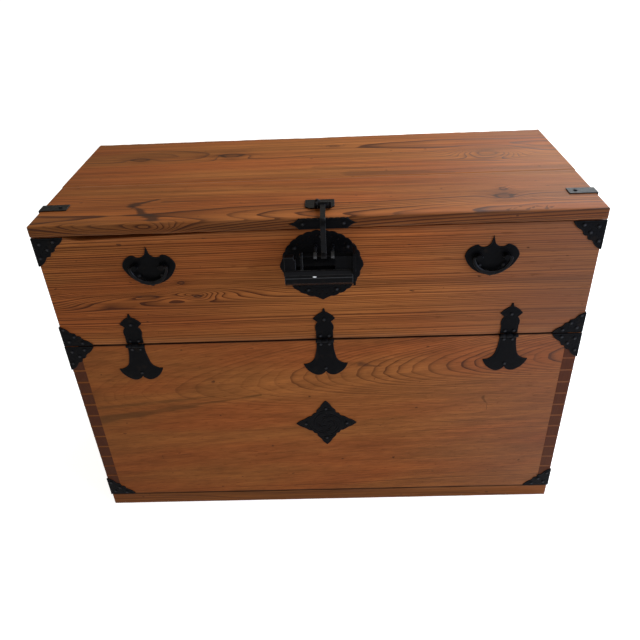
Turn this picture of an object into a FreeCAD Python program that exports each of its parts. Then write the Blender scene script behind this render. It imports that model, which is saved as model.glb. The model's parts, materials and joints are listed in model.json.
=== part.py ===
import FreeCAD, Part
import math
import os

Vector = FreeCAD.Vector

# Half-opening chest: the upper half of the front is a flap that drops on three strap hinges.
# Millimetres, +X right, +Y back, +Z up, origin on the floor under the middle of the chest.

# Carcass
WIDTH = 900.0
DEPTH = 392.0
BOTTOM_T = 30.0
SEAM_Z = 409.0
SEAM_GAP = 2.0
CARCASS_TOP = 622.0
TOP_T = 19.5
SIDE_T = 23.0
PANEL_T = 22.0
BACK_T = 16.0
TOP_OVERHANG = 5.0
TOP_JOINT_Y = 160.0
TONGUE_T = 6.0
TONGUE_L = 7.0
EDGE_ROUND = 3.0
BACK_JOINT_Z = 330.0

# Corner joint of the lower front: thin pins of the panel run through the side boards
PIN_T = 2.6
PIN_COUNT = 13

# Flap
FLAP_T = 22.0
FLAP_TOP_GAP = 2.5
FLAP_END_GAP = 0.5
FLAP_REST_GAP = 0.4
FLAP_ROUND = 1.5

# Ironwork stock and nails
IRON_T = 1.6
NAIL_SIDE = 2.2
NAIL_LENGTH = 14.0
NAIL_HEAD_R = 3.4
NAIL_HEAD_H = 1.7
DOME_R = 4.6
DOME_H = 4.2

# Strap hinges
HINGE_X = 325.0
KNUCKLE_R = 3.6
HINGE_PIN_R = 1.75
KNUCKLE_W = 32.0
KNUCKLE_MID_W = 11.4
KNUCKLE_SLACK = 0.3
RUN_FIT = 0.05
LEAF_HALF = 14.8
UPPER_LEAF_H = 64.0
LOWER_LEAF_H = 77.0
SHOULDER_HALF = 18.8
FINIAL_HALF = 1.3
ROOF_BOW = 1.5
FOOT_HALF = 39.5

# Corner brackets
BRACKET_LEG = 50.0
BRACKET_BOW = 4.0
SCALLOPS = 4
SCALLOP_DEPTH = 1.6

# Top straps
STRAP_W = 22.0
STRAP_Y = 64.0
STRAP_REACH = 44.0
STRAP_DROP = 62.0

# Round lock plate and the plates around it
LOCK_X = 7.5
LOCK_DROP = 65.0
LOCK_R = 60.0
LOCK_STRETCH = 1.06
LOCK_LOBES = 28
LOBE_RISE = 1.5
LOCK_TAIL = 62.0
LOCK_NAIL_R = 51.0
BAND_HALF = 53.0
BAND_MARGIN = 0.6
BAND_BOW = 1.8

# Hasp, set to the right of the middle of its plate
HASP_X = 12.5
HASP_PLATE_W = 47.0
HASP_PLATE_L = 33.0
HASP_PLATE_CUT = 7.0
DOME_ASIDE = 4.0
HASP_LUG_W = 27.0
HASP_PLATE_T = 2.0
HASP_PIVOT_Y = 28.0
HASP_PIVOT_RISE = 6.5
HASP_KNUCKLE_R = 5.0
HASP_PIN_R = 2.0
HASP_W = 8.0
HASP_T = 5.0
HASP_BEND_R = 8.0
HASP_KNUCKLE_W = 17.0
HASP_EYE_R = 6.6
HASP_MOUTH_LEAN = 26.0

# Padlock
LOCK_STANDOFF = 35.0
ROD_DROP = 30.0
ROD_R = 3.0
ROD_GAP = 0.3
EYE_GAP = 0.9
ROD_TIP_X = -34.0
STAPLE_X = 13.5
STAPLE_W = 5.0
STAPLE_R = 6.2
STAPLE_SHANK_R = 2.6
STAPLE_TANG = 14.0
CASE_LEFT = -57.0
CASE_RIGHT = 49.0
CASE_DROP = 35.0
CASE_SIDE = 26.0
CASE_CHAMFER = 6.0
BORE_SIDE = 12.0
BORE_END = 12.0
KEYHOLE_W = 8.0
KEYHOLE_H = 3.0
POST_X = -30.0
POST_T = 4.0
END_PLATE_T = 4.0
END_PLATE_GAP = 0.3
BLOCK_LEFT = 22.0
STEM_SIDE = 5.0
STEM_LENGTH = 88.0
GUIDE_LENGTH = 14.0
SPRING_T = 0.8
SPRING_L = 46.0

# Bail handles
HANDLE_X = 276.0
HANDLE_SHIFT = 4.0
HANDLE_DROP = 56.5
HANDLE_HALF = 43.5
POST_SPAN = 44.0
POST_R = 4.6
POST_LENGTH = 10.5
BAIL_AXIS_OUT = 6.4
BAIL_PIN_R = 2.0
BAIL_PIN_L = 10.5
BAIL_R = 3.0
BAIL_DROP = 29.0
BAIL_ARM_GAP = 0.8

# Diamond plate on the lower front
DIAMOND_X = 4.0
DIAMOND_Z = 214.0
DIAMOND_HALF_W = 57.5
DIAMOND_HALF_H = 55.5
DIAMOND_STEPS = 5
DIAMOND_SINK = 5.0
DIAMOND_BOW = 1.0

HALF = WIDTH / 2
FRONT = -DEPTH / 2
BACK = DEPTH / 2
TOP_Z = CARCASS_TOP + TOP_T
LOCK_Z = CARCASS_TOP - LOCK_DROP
ROD_Z = CARCASS_TOP - ROD_DROP
CASE_Z = ROD_Z - CASE_DROP
HANDLE_Z = CARCASS_TOP - HANDLE_DROP
INNER = HALF - SIDE_T
PANEL_TOP = SEAM_Z - SEAM_GAP / 2
FLAP_BOTTOM = SEAM_Z + SEAM_GAP / 2
FLAP_TOP = CARCASS_TOP - FLAP_TOP_GAP
FLAP_HALF = HALF - FLAP_END_GAP
IRON_FACE = FRONT - IRON_T
HINGE_Y = FRONT - KNUCKLE_R - KNUCKLE_SLACK
ROD_Y = FRONT - LOCK_STANDOFF
PIVOT_Y = FRONT + HASP_PIVOT_Y
PIVOT_Z = TOP_Z + HASP_PIVOT_RISE
BAIL_Y = IRON_FACE - BAIL_AXIS_OUT
SIDES = {"left": -1, "right": 1}

OUTWARD_FRONT = Vector(0, -1, 0)
OUTWARD_TOP = Vector(0, 0, 1)


def box(low, high):
    """Block between two corners."""
    size = [b - a for a, b in zip(low, high)]
    return Part.makeBox(size[0], size[1], size[2], Vector(*low))


def rod_x(radius, x0, x1, y, z):
    """Round bar along X."""
    return Part.makeCylinder(radius, x1 - x0, Vector(x0, y, z), Vector(1, 0, 0))


def rod_y(radius, y0, y1, x, z):
    """Round bar along Y."""
    return Part.makeCylinder(radius, y1 - y0, Vector(x, y0, z), Vector(0, 1, 0))


def fuse(shapes):
    """One solid from several that touch or overlap."""
    return shapes[0].fuse(shapes[1:]).removeSplitter()


def closed_face(start, steps, place):
    """Face inside an outline. A step is a point, or a pair of points for an arc to the second one."""
    edges = []
    here = start
    for step in steps:
        if isinstance(step[0], tuple):
            middle, end = step
            edges.append(Part.Arc(place(here), place(middle), place(end)).toShape())
        else:
            end = step
            edges.append(Part.LineSegment(place(here), place(end)).toShape())
        here = end
    return Part.Face(Part.Wire(edges))


def mirrored(start, steps):
    """Steps of a right half from top to bottom, followed by the same half on the left, back up."""
    ends = [start] + [step[1] if isinstance(step[0], tuple) else step for step in steps]

    def flip(point):
        return (-point[0], point[1])

    back = []
    for index in range(len(steps) - 1, -1, -1):
        step = steps[index]
        end = flip(ends[index])
        back.append((flip(step[0]), end) if isinstance(step[0], tuple) else end)
    bottom = ends[-1]
    bridge = [] if bottom[0] == 0 else [flip(bottom)]
    top = [] if start[0] == 0 else [start]
    return steps + bridge + back + top


def front_plate(start, steps, x=0.0, z=0.0, face_y=FRONT, thickness=IRON_T):
    """Sheet iron on a front surface, from an outline in X and Z about a centre."""
    face = closed_face(start, steps, lambda p: Vector(x + p[0], face_y, z + p[1]))
    return face.extrude(Vector(0, -thickness, 0))


def arc_bulge(a, b, depth):
    """Arc step from a to b whose middle lies depth to the left of the straight line."""
    length = math.hypot(b[0] - a[0], b[1] - a[1])
    normal = (-(b[1] - a[1]) / length, (b[0] - a[0]) / length)
    middle = ((a[0] + b[0]) / 2 + normal[0] * depth, (a[1] + b[1]) / 2 + normal[1] * depth)
    return (middle, b)


def scalloped(a, b):
    """A run of small arcs from a to b along a sine bow, both to the side away from the origin."""
    side = math.copysign(1.0, a[0] * b[1] - a[1] * b[0])
    out = (b[1] - a[1], a[0] - b[0])
    bow = side * BRACKET_BOW / math.hypot(*out)
    points = []
    for i in range(SCALLOPS + 1):
        share = i / SCALLOPS
        rise = bow * math.sin(math.pi * share)
        points.append(tuple(p + (q - p) * share + n * rise for p, q, n in zip(a, b, out)))
    return [arc_bulge(points[i], points[i + 1], -side * SCALLOP_DEPTH) for i in range(SCALLOPS)]


def octagon(radius, z):
    """Eight-sided wire about the Z axis."""
    turns = [math.pi * k / 4 for k in range(9)]
    return Part.makePolygon([Vector(radius * math.cos(t), radius * math.sin(t), z) for t in turns])


def nail_at(point, outward, radius, height):
    """Forged nail: a faceted dome on the iron and a square shank in the wood."""
    crown = [octagon(radius, 0), octagon(radius * 0.8, height * 0.6), octagon(radius * 0.3, height)]
    head = Part.makeLoft(crown, True, True)
    half = NAIL_SIDE / 2
    shank = box((-half, -half, -NAIL_LENGTH), (half, half, 0))
    turn = FreeCAD.Rotation(Vector(0, 0, 1), outward)
    for solid in (head, shank):
        solid.Placement = FreeCAD.Placement(point, turn)
    return head.fuse(shank), shank


class Nails:
    """A group of like nails and the pieces that they run through."""

    def __init__(self):
        self.nails = []
        self.shanks = []

    def drive(self, point, outward, radius=NAIL_HEAD_R, height=NAIL_HEAD_H):
        nail, shank = nail_at(point, outward, radius, height)
        self.nails.append(nail)
        self.shanks.append(shank)

    def front(self, x, z):
        self.drive(Vector(x, IRON_FACE, z), OUTWARD_FRONT)

    def bore(self, shape):
        return shape.cut(self.shanks)


def side_board(sign):
    """Side board: full depth below the seam, cut back behind the flap above it, slotted for the pins."""
    rest_y = FRONT + FLAP_T + FLAP_REST_GAP
    outline = [(FRONT, PANEL_TOP), (rest_y, PANEL_TOP), (rest_y, CARCASS_TOP), (BACK, CARCASS_TOP),
               (BACK, BOTTOM_T), (FRONT, BOTTOM_T)]
    inner_x = sign * INNER
    face = closed_face((FRONT, BOTTOM_T), outline, lambda p: Vector(inner_x, p[0], p[1]))
    board = face.extrude(Vector(sign * SIDE_T, 0, 0))
    return board.cut(corner_pins(sign))


def corner_pins(sign):
    """Thin pins at even steps up one end of the lower front panel."""
    pitch = (PANEL_TOP - BOTTOM_T) / (PIN_COUNT + 1)
    near, far = sorted((sign * INNER, sign * HALF))
    pins = []
    for step in range(1, PIN_COUNT + 1):
        z = BOTTOM_T + step * pitch
        pins.append(box((near, FRONT, z - PIN_T / 2), (far, FRONT + PANEL_T, z + PIN_T / 2)))
    return pins


def lower_panel():
    """Fixed lower half of the front, with its pins through both side boards."""
    panel = box((-INNER, FRONT, BOTTOM_T), (INNER, FRONT + PANEL_T, PANEL_TOP))
    return fuse([panel] + corner_pins(-1) + corner_pins(1))


def top_boards():
    """Two boards of the top, joined by a tongue on the rear one, with rounded outer long edges."""
    front_y = FRONT - TOP_OVERHANG
    joint_y = FRONT + TOP_JOINT_Y
    mid_z = CARCASS_TOP + TOP_T / 2
    tongue = box((-HALF, joint_y - TONGUE_L, mid_z - TONGUE_T / 2), (HALF, joint_y, mid_z + TONGUE_T / 2))
    front = box((-HALF, front_y, CARCASS_TOP), (HALF, joint_y, TOP_Z))
    rear = box((-HALF, joint_y, CARCASS_TOP), (HALF, BACK, TOP_Z))
    front = front.makeFillet(EDGE_ROUND, long_edges(front, front_y))
    rear = rear.makeFillet(EDGE_ROUND, long_edges(rear, BACK)[-1:])
    return front.cut(tongue), fuse([rear, tongue])


def long_edges(shape, y):
    """Edges along X at one Y, from the lowest to the highest."""
    found = [e for e in shape.Edges if all(abs(v.Y - y) < 1e-6 for v in e.Vertexes)
             and abs(e.Vertexes[0].X - e.Vertexes[-1].X) > 1e-6]
    return sorted(found, key=lambda e: e.CenterOfMass.z)


def back_board(z0, z1):
    """One of the two boards let in between the sides at the back."""
    return box((-INNER, BACK - BACK_T, z0), (INNER, BACK, z1))


def bottom_board():
    """Bottom board under the whole carcass, with its outer lower edges eased."""
    board = box((-HALF, FRONT, 0), (HALF, BACK, BOTTOM_T))
    ends = [e for e in board.Edges if abs(e.Vertexes[0].Z - e.Vertexes[-1].Z) > 1e-6]
    return board.makeFillet(EDGE_ROUND, ends)


def flap_board():
    """Flap over the full front, with all its front edges eased."""
    board = box((-FLAP_HALF, FRONT, FLAP_BOTTOM), (FLAP_HALF, FRONT + FLAP_T, FLAP_TOP))
    eased = [e for e in board.Edges if all(abs(v.Y - FRONT) < 1e-6 for v in e.Vertexes)]
    return board.makeFillet(FLAP_ROUND, eased)


def hinge_barrels(x, outer):
    """Knuckles about the hinge axis: the two outer ones, or the middle one."""
    half = KNUCKLE_W / 2
    mid = KNUCKLE_MID_W / 2
    spans = [(-half, -mid - KNUCKLE_SLACK), (mid + KNUCKLE_SLACK, half)] if outer else [(-mid, mid)]
    return [rod_x(KNUCKLE_R, x + a, x + b, HINGE_Y, SEAM_Z) for a, b in spans]


def hinge_gaps(x, outer):
    """Room that a leaf leaves round the other leaf's knuckles and the bore for the pin."""
    half = KNUCKLE_W / 2
    mid = KNUCKLE_MID_W / 2 + KNUCKLE_SLACK
    spans = [(-mid, mid)] if outer else [(-half - KNUCKLE_SLACK, -KNUCKLE_MID_W / 2),
                                         (KNUCKLE_MID_W / 2, half + KNUCKLE_SLACK)]
    reach = KNUCKLE_R + 2 * KNUCKLE_SLACK
    gaps = [rod_x(reach, x + a, x + b, HINGE_Y, SEAM_Z) for a, b in spans]
    return gaps + [rod_x(HINGE_PIN_R + RUN_FIT, x - half, x + half, HINGE_Y, SEAM_Z)]


def hinge_pin(x):
    """Pin through the knuckles of both leaves."""
    return rod_x(HINGE_PIN_R, x - KNUCKLE_W / 2, x + KNUCKLE_W / 2, HINGE_Y, SEAM_Z)


def upper_leaf(x, nails):
    """Leaf on the flap: a strap with side lobes, a notched neck, and a roof with a short finial."""
    foot = FLAP_BOTTOM - SEAM_Z
    top = (FINIAL_HALF, UPPER_LEAF_H)
    eaves = (FINIAL_HALF * 2, UPPER_LEAF_H * 0.9)
    steps = [eaves, arc_bulge(eaves, (SHOULDER_HALF, UPPER_LEAF_H * 0.69), ROOF_BOW),
             ((LEAF_HALF * 0.99, UPPER_LEAF_H * 0.625), (LEAF_HALF * 0.76, UPPER_LEAF_H * 0.575)),
             ((LEAF_HALF * 1.07, UPPER_LEAF_H * 0.44), (LEAF_HALF, UPPER_LEAF_H * 0.3)),
             (LEAF_HALF, foot)]
    leaf = front_plate(top, mirrored(top, steps), x, SEAM_Z)
    for dx, rise in ((0, 0.665), (-0.5, 0.136), (0.5, 0.136)):
        nails.front(x + dx * LEAF_HALF, SEAM_Z + rise * UPPER_LEAF_H)
    return fuse([leaf] + hinge_barrels(x, False)).cut(hinge_gaps(x, False))


def lower_leaf(x, nails):
    """Leaf on the lower front: a strap that flares to two feet over a double lobe."""
    drop = -LOWER_LEAF_H
    head = PANEL_TOP - SEAM_Z
    top = (LEAF_HALF, head)
    steps = [((LEAF_HALF * 1.05, drop * 0.26), (LEAF_HALF * 1.25, drop * 0.45)),
             ((FOOT_HALF * 0.59, drop * 0.59), (FOOT_HALF, drop * 0.675)),
             ((FOOT_HALF * 0.78, drop * 0.88), (FOOT_HALF * 0.43, drop)),
             ((FOOT_HALF * 0.17, drop * 0.985), (0, drop * 0.89))]
    leaf = front_plate(top, mirrored(top, steps), x, SEAM_Z)
    for dx, fall in ((-0.5, 0.116), (0.5, 0.116), (0, 0.8)):
        nails.front(x + dx * LEAF_HALF, SEAM_Z + fall * drop)
    return fuse([leaf] + hinge_barrels(x, True)).cut(hinge_gaps(x, True))


def corner_plate(sign, x, z, up, nails, flange=None):
    """Corner bracket: a scalloped triangle on the front and a flange or a second triangle round the end."""
    leg = BRACKET_LEG
    along = (-sign * leg, 0)
    away = (0, up * leg)
    outline = [along] + scalloped(along, away) + [(0, 0)]
    plate = front_plate((0, 0), outline, x, z)
    low, high = sorted((z, z + up * leg))
    near, far = sorted((x, x + sign * IRON_T))
    if flange:
        turn = box((near, IRON_FACE, low), (far, FRONT + flange, high))
    else:
        side = [(leg, 0)] + scalloped((leg, 0), away) + [(0, 0)]
        face = closed_face((0, 0), side, lambda p: Vector(near, IRON_FACE + p[0], z + p[1]))
        turn = face.extrude(Vector(IRON_T, 0, 0))
        nails.drive(Vector(x + sign * IRON_T, FRONT + leg * 0.28, z + up * leg * 0.28), Vector(sign, 0, 0))
    for share_x, share_z in ((0.66, 0.13), (0.2, 0.2), (0.42, 0.4), (0.12, 0.7)):
        nails.front(x - sign * leg * share_x, z + up * leg * share_z)
    return fuse([plate, turn])


def top_strap(sign, nails):
    """Flat strap from the top, over the end and down the side board."""
    y0 = FRONT + STRAP_Y - STRAP_W / 2
    y1 = y0 + STRAP_W
    inner, end = sorted((sign * (HALF - STRAP_REACH), sign * (HALF + IRON_T)))
    near, far = sorted((sign * HALF, sign * (HALF + IRON_T)))
    flat = box((inner, y0, TOP_Z), (end, y1, TOP_Z + IRON_T))
    drop = box((near, y0, TOP_Z - STRAP_DROP), (far, y1, TOP_Z))
    nails.drive(Vector(sign * (HALF - STRAP_REACH * 0.72), FRONT + STRAP_Y, TOP_Z + IRON_T), OUTWARD_TOP)
    nails.drive(Vector(sign * (HALF + IRON_T), FRONT + STRAP_Y, TOP_Z - STRAP_DROP * 0.8), Vector(sign, 0, 0))
    return fuse([flat, drop])


def lock_plate(nails):
    """Rounded plate, a little wider than high, with a rim of small lobes and a pointed tail."""
    def rim(k, radius):
        angle = -math.pi / 2 + 2 * math.pi * k / LOCK_LOBES
        return (radius * LOCK_STRETCH * math.cos(angle), radius * math.sin(angle))

    steps = []
    for k in range(1, LOCK_LOBES - 1):
        steps.append((rim(k + 0.5, LOCK_R + LOBE_RISE), rim(k + 1, LOCK_R)))
    tail = (0, -LOCK_TAIL)
    steps.append(arc_bulge(rim(-1, LOCK_R), tail, -LOBE_RISE))
    steps.append(arc_bulge(tail, rim(1, LOCK_R), -LOBE_RISE))
    plate = front_plate(rim(1, LOCK_R), steps, LOCK_X, LOCK_Z)
    for k in range(2, LOCK_LOBES, 4):
        x, z = rim(k, LOCK_NAIL_R)
        nails.front(LOCK_X + x, LOCK_Z + z)
    return plate


def band_plate(nails):
    """Plate on the front edge of the top: long, with ogee points and cusped upper corners."""
    half_h = TOP_T / 2 - BAND_MARGIN
    mid_z = CARCASS_TOP + TOP_T / 2
    face_y = FRONT - TOP_OVERHANG
    start = (BAND_HALF * 0.72, half_h)
    tip = (BAND_HALF, 0)
    steps = [arc_bulge(start, tip, -BAND_BOW), arc_bulge(tip, (start[0], -half_h), -BAND_BOW)]
    for dx in (-0.6, 0.6):
        nails.drive(Vector(HASP_X + dx * BAND_HALF, face_y - IRON_T, mid_z), OUTWARD_FRONT)
    return front_plate(start, mirrored(start, steps), HASP_X, mid_z, face_y)


def hasp_plate(nails):
    """Plate on the top that carries the hasp between two knuckles."""
    half = HASP_PLATE_W / 2
    outer = HASP_LUG_W / 2
    inner = HASP_KNUCKLE_W / 2 + KNUCKLE_SLACK
    cut = HASP_PLATE_CUT
    back = HASP_PLATE_L
    outline = [(half, cut), (half, back), (-half, back), (-half, cut), (cut - half, 0), (half - cut, 0)]
    face = closed_face(outline[-1], outline, lambda p: Vector(LOCK_X + p[0], PIVOT_Y + p[1], TOP_Z))
    pieces = [face.extrude(Vector(0, 0, HASP_PLATE_T))]
    for a, b in ((HASP_X - outer, HASP_X - inner), (HASP_X + inner, HASP_X + outer)):
        pieces.append(rod_x(HASP_KNUCKLE_R, a, b, PIVOT_Y, PIVOT_Z))
        pieces.append(box((a, PIVOT_Y, TOP_Z), (b, PIVOT_Y + HASP_KNUCKLE_R, PIVOT_Z)))
    room = rod_x(HASP_PIVOT_RISE - HASP_PLATE_T / 2, HASP_X - inner, HASP_X + inner, PIVOT_Y, PIVOT_Z)
    dome = Vector(LOCK_X - DOME_ASIDE, PIVOT_Y + HASP_PLATE_L * 0.76, TOP_Z + HASP_PLATE_T)
    nails.drive(dome, OUTWARD_TOP, DOME_R, DOME_H)
    return fuse(pieces).cut([room, hasp_pin()])


def hasp_pin():
    """Pin through the knuckles of the hasp and its plate."""
    return rod_x(HASP_PIN_R, HASP_X - HASP_LUG_W / 2, HASP_X + HASP_LUG_W / 2, PIVOT_Y, PIVOT_Z)


def hasp_bar():
    """Hasp: a flat bar from its knuckle over the edge and down to an eye that opens down and forward."""
    half_t = HASP_T / 2
    bend = HASP_BEND_R
    diagonal = math.sqrt(0.5)
    centre = (ROD_Y + bend, PIVOT_Z - bend)

    def on_bend(radius):
        return (centre[0] - radius * diagonal, centre[1] + radius * diagonal)

    steps = [(centre[0], PIVOT_Z + half_t),
             (on_bend(bend + half_t), (ROD_Y - half_t, centre[1])),
             (ROD_Y - half_t, ROD_Z), (ROD_Y + half_t, ROD_Z), (ROD_Y + half_t, centre[1]),
             (on_bend(bend - half_t), (centre[0], PIVOT_Z - half_t)),
             (PIVOT_Y, PIVOT_Z - half_t), (PIVOT_Y, PIVOT_Z + half_t)]
    start = (PIVOT_Y, PIVOT_Z + half_t)
    near, far = HASP_X - HASP_W / 2, HASP_X + HASP_W / 2
    bar = closed_face(start, steps, lambda p: Vector(near, p[0], p[1])).extrude(Vector(HASP_W, 0, 0))
    wide = (HASP_X - HASP_KNUCKLE_W / 2, HASP_X + HASP_KNUCKLE_W / 2)
    knuckle = rod_x(HASP_KNUCKLE_R, *wide, PIVOT_Y, PIVOT_Z)
    eye = rod_x(HASP_EYE_R, near, far, ROD_Y, ROD_Z)
    gap = ROD_R + EYE_GAP
    mouth = box((near, -gap, -3 * HASP_EYE_R), (far, gap, 0))
    mouth.rotate(Vector(0, 0, 0), Vector(1, 0, 0), -HASP_MOUTH_LEAN)
    mouth.translate(Vector(0, ROD_Y, ROD_Z))
    bore = rod_x(HASP_PIN_R + RUN_FIT, *wide, PIVOT_Y, PIVOT_Z)
    room = rod_x(gap, near, far, ROD_Y, ROD_Z)
    return fuse([bar, knuckle, eye]).cut([mouth, room, bore])


def lock_staple(x):
    """Eye staple: a shank through the plate into the flap and a ring round the lock's rod."""
    half = STAPLE_W / 2
    ring = rod_x(STAPLE_R, x - half, x + half, ROD_Y, ROD_Z)
    shank = rod_y(STAPLE_SHANK_R, ROD_Y, FRONT + STAPLE_TANG, x, ROD_Z)
    return fuse([ring, shank]).cut(rod_x(ROD_R + ROD_GAP, x - STAPLE_W, x + STAPLE_W, ROD_Y, ROD_Z))


def padlock_case():
    """Prism case with chamfered long edges, a square bore, a key slot, and the post for the rod's tip."""
    half = CASE_SIDE / 2
    cut = CASE_CHAMFER
    outline = [(-half, half - cut), (-half + cut, half), (half - cut, half), (half, half - cut),
               (half, cut - half), (half - cut, -half), (cut - half, -half), (-half, cut - half)]
    face = closed_face(outline[-1], outline, lambda p: Vector(CASE_LEFT, ROD_Y + p[0], CASE_Z + p[1]))
    case = face.extrude(Vector(CASE_RIGHT - CASE_LEFT, 0, 0))
    post_half = POST_T / 2
    post = box((POST_X - post_half, ROD_Y - 2 * ROD_R, CASE_Z),
               (POST_X + post_half, ROD_Y + 2 * ROD_R, ROD_Z))
    crown = rod_x(2 * ROD_R, POST_X - post_half, POST_X + post_half, ROD_Y, ROD_Z)
    side = BORE_SIDE / 2
    bore = box((CASE_LEFT + BORE_END, ROD_Y - side, CASE_Z - side), (CASE_RIGHT, ROD_Y + side, CASE_Z + side))
    key = box((CASE_LEFT, ROD_Y - KEYHOLE_W / 2, CASE_Z - KEYHOLE_H / 2),
              (CASE_LEFT + BORE_END, ROD_Y + KEYHOLE_W / 2, CASE_Z + KEYHOLE_H / 2))
    eye = rod_x(ROD_R + ROD_GAP, POST_X - POST_T, POST_X + POST_T, ROD_Y, ROD_Z)
    return fuse([case, post, crown]).cut([bore, key, eye])


def padlock_bolt():
    """Sliding half of the lock: end plate, rod through the staples, filling block and square stem."""
    near = CASE_RIGHT + END_PLATE_GAP
    half = CASE_SIDE / 2
    guide = BORE_SIDE / 2 - RUN_FIT
    stem = STEM_SIDE / 2
    plate = box((near, ROD_Y - half, CASE_Z - half), (near + END_PLATE_T, ROD_Y + half, ROD_Z + 2 * ROD_R))
    rod = rod_x(ROD_R, ROD_TIP_X, near, ROD_Y, ROD_Z)
    block = box((BLOCK_LEFT, ROD_Y - 2 * ROD_R, CASE_Z + half + END_PLATE_GAP),
                (near, ROD_Y + 2 * ROD_R, ROD_Z))
    guided = box((near - GUIDE_LENGTH, ROD_Y - guide, CASE_Z - guide), (near, ROD_Y + guide, CASE_Z + guide))
    inner = box((near - STEM_LENGTH, ROD_Y - stem, CASE_Z - stem), (near, ROD_Y + stem, CASE_Z + stem))
    return fuse([plate, rod, block, guided, inner])


def padlock_springs():
    """Two leaf springs that lie along the stem from its tip and spread towards the guide."""
    stem = STEM_SIDE / 2
    tip = CASE_RIGHT + END_PLATE_GAP - STEM_LENGTH
    spread = BORE_SIDE / 2 - RUN_FIT - SPRING_T
    leaves = []
    for up in (-1, 1):
        outline = [(tip, stem), (tip + SPRING_L * 0.2, stem), (tip + SPRING_L, spread),
                   (tip + SPRING_L, spread + SPRING_T), (tip, stem + SPRING_T)]
        face = closed_face(outline[-1], outline, lambda p: Vector(p[0], ROD_Y - stem, CASE_Z + up * p[1]))
        leaves.append(face.extrude(Vector(0, STEM_SIDE, 0)))
    return Part.makeCompound(leaves)


def handle_plate(x, nails):
    """Bat-shaped plate: a spike between two cusps, wide wings and a rounded body with a low point."""
    wide = HANDLE_HALF
    top = (0, wide * 0.78)
    steps = [(wide * 0.07, wide * 0.5),
             ((wide * 0.27, wide * 0.335), (wide * 0.545, wide * 0.425)),
             ((wide * 0.85, wide * 0.28), (wide, -wide * 0.03)),
             ((wide * 0.67, -wide * 0.57), (wide * 0.16, -wide * 0.81)),
             (0, -wide * 0.885)]
    for dx, rise in ((-0.43, -0.41), (0.43, -0.41)):
        nails.front(x + dx * wide, HANDLE_Z + rise * wide)
    return front_plate(top, mirrored(top, steps), x, HANDLE_Z)


def handle_posts(x):
    """Pair of posts through the plate, cross-bored for the ends of the bail."""
    posts = []
    for sign in (-1, 1):
        post_x = x + sign * POST_SPAN / 2
        head = rod_y(POST_R, IRON_FACE - POST_LENGTH, IRON_FACE, post_x, HANDLE_Z)
        tang = rod_y(STAPLE_SHANK_R, IRON_FACE, FRONT + STAPLE_TANG, post_x, HANDLE_Z)
        bore = rod_x(BAIL_PIN_R + RUN_FIT, post_x - 2 * POST_R, post_x + 2 * POST_R, BAIL_Y, HANDLE_Z)
        posts.append(fuse([head, tang]).cut(bore))
    return Part.makeCompound(posts)


def bail(x):
    """Crescent bail: a bowed round bar whose ends turn in to pins."""
    arm = POST_SPAN / 2 + POST_R + BAIL_ARM_GAP + BAIL_R
    bow = (arm ** 2 + BAIL_DROP ** 2) / (2 * BAIL_DROP)
    left = Vector(x - arm, BAIL_Y, HANDLE_Z)
    right = Vector(x + arm, BAIL_Y, HANDLE_Z)
    centre = Vector(x, BAIL_Y, HANDLE_Z - BAIL_DROP + bow)
    along = (centre - left).cross(Vector(0, 1, 0))
    ring = Part.Face(Part.Wire([Part.makeCircle(BAIL_R, left, along)]))
    half_turn = math.degrees(math.atan2(arm, bow - BAIL_DROP))
    pieces = [ring.revolve(centre, Vector(0, -1, 0), 2 * half_turn)]
    for sign, end in ((-1, left), (1, right)):
        reach = sign * (BAIL_PIN_L + BAIL_R)
        pieces.append(Part.makeSphere(BAIL_R, end))
        pieces.append(rod_x(BAIL_PIN_R, *sorted((end.x, end.x - reach)), BAIL_Y, HANDLE_Z))
    return fuse(pieces)


def diamond_plate(nails):
    """Lozenge with drawn-in, stepped sides and a pierced flower in its middle."""
    w = DIAMOND_HALF_W
    h = DIAMOND_HALF_H
    corners = [(w, 0), (0, h), (-w, 0), (0, -h)]
    steps = []
    for a, b in zip(corners, corners[1:] + corners[:1]):
        points = [sunk_point(a, b, i / DIAMOND_STEPS) for i in range(DIAMOND_STEPS + 1)]
        steps += [arc_bulge(points[i], points[i + 1], -DIAMOND_BOW) for i in range(DIAMOND_STEPS)]
    plate = front_plate(corners[0], steps, DIAMOND_X, DIAMOND_Z)
    petals = [rod_y(h * 0.06, IRON_FACE, FRONT, DIAMOND_X + h * 0.17 * math.cos(k * math.pi / 4),
                    DIAMOND_Z + h * 0.17 * math.sin(k * math.pi / 4)) for k in range(8)]
    for x, z in ((0.68, 0), (-0.68, 0), (0, 0.66), (0, -0.66)):
        nails.front(DIAMOND_X + x * w, DIAMOND_Z + z * h)
    return plate.cut(petals)


def sunk_point(a, b, share):
    """Point between two corners, drawn in towards the middle by a sine bow."""
    x = a[0] + (b[0] - a[0]) * share
    z = a[1] + (b[1] - a[1]) * share
    pull = DIAMOND_SINK * math.sin(math.pi * share) / math.hypot(x, z)
    return (x - x * pull, z - z * pull)


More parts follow.
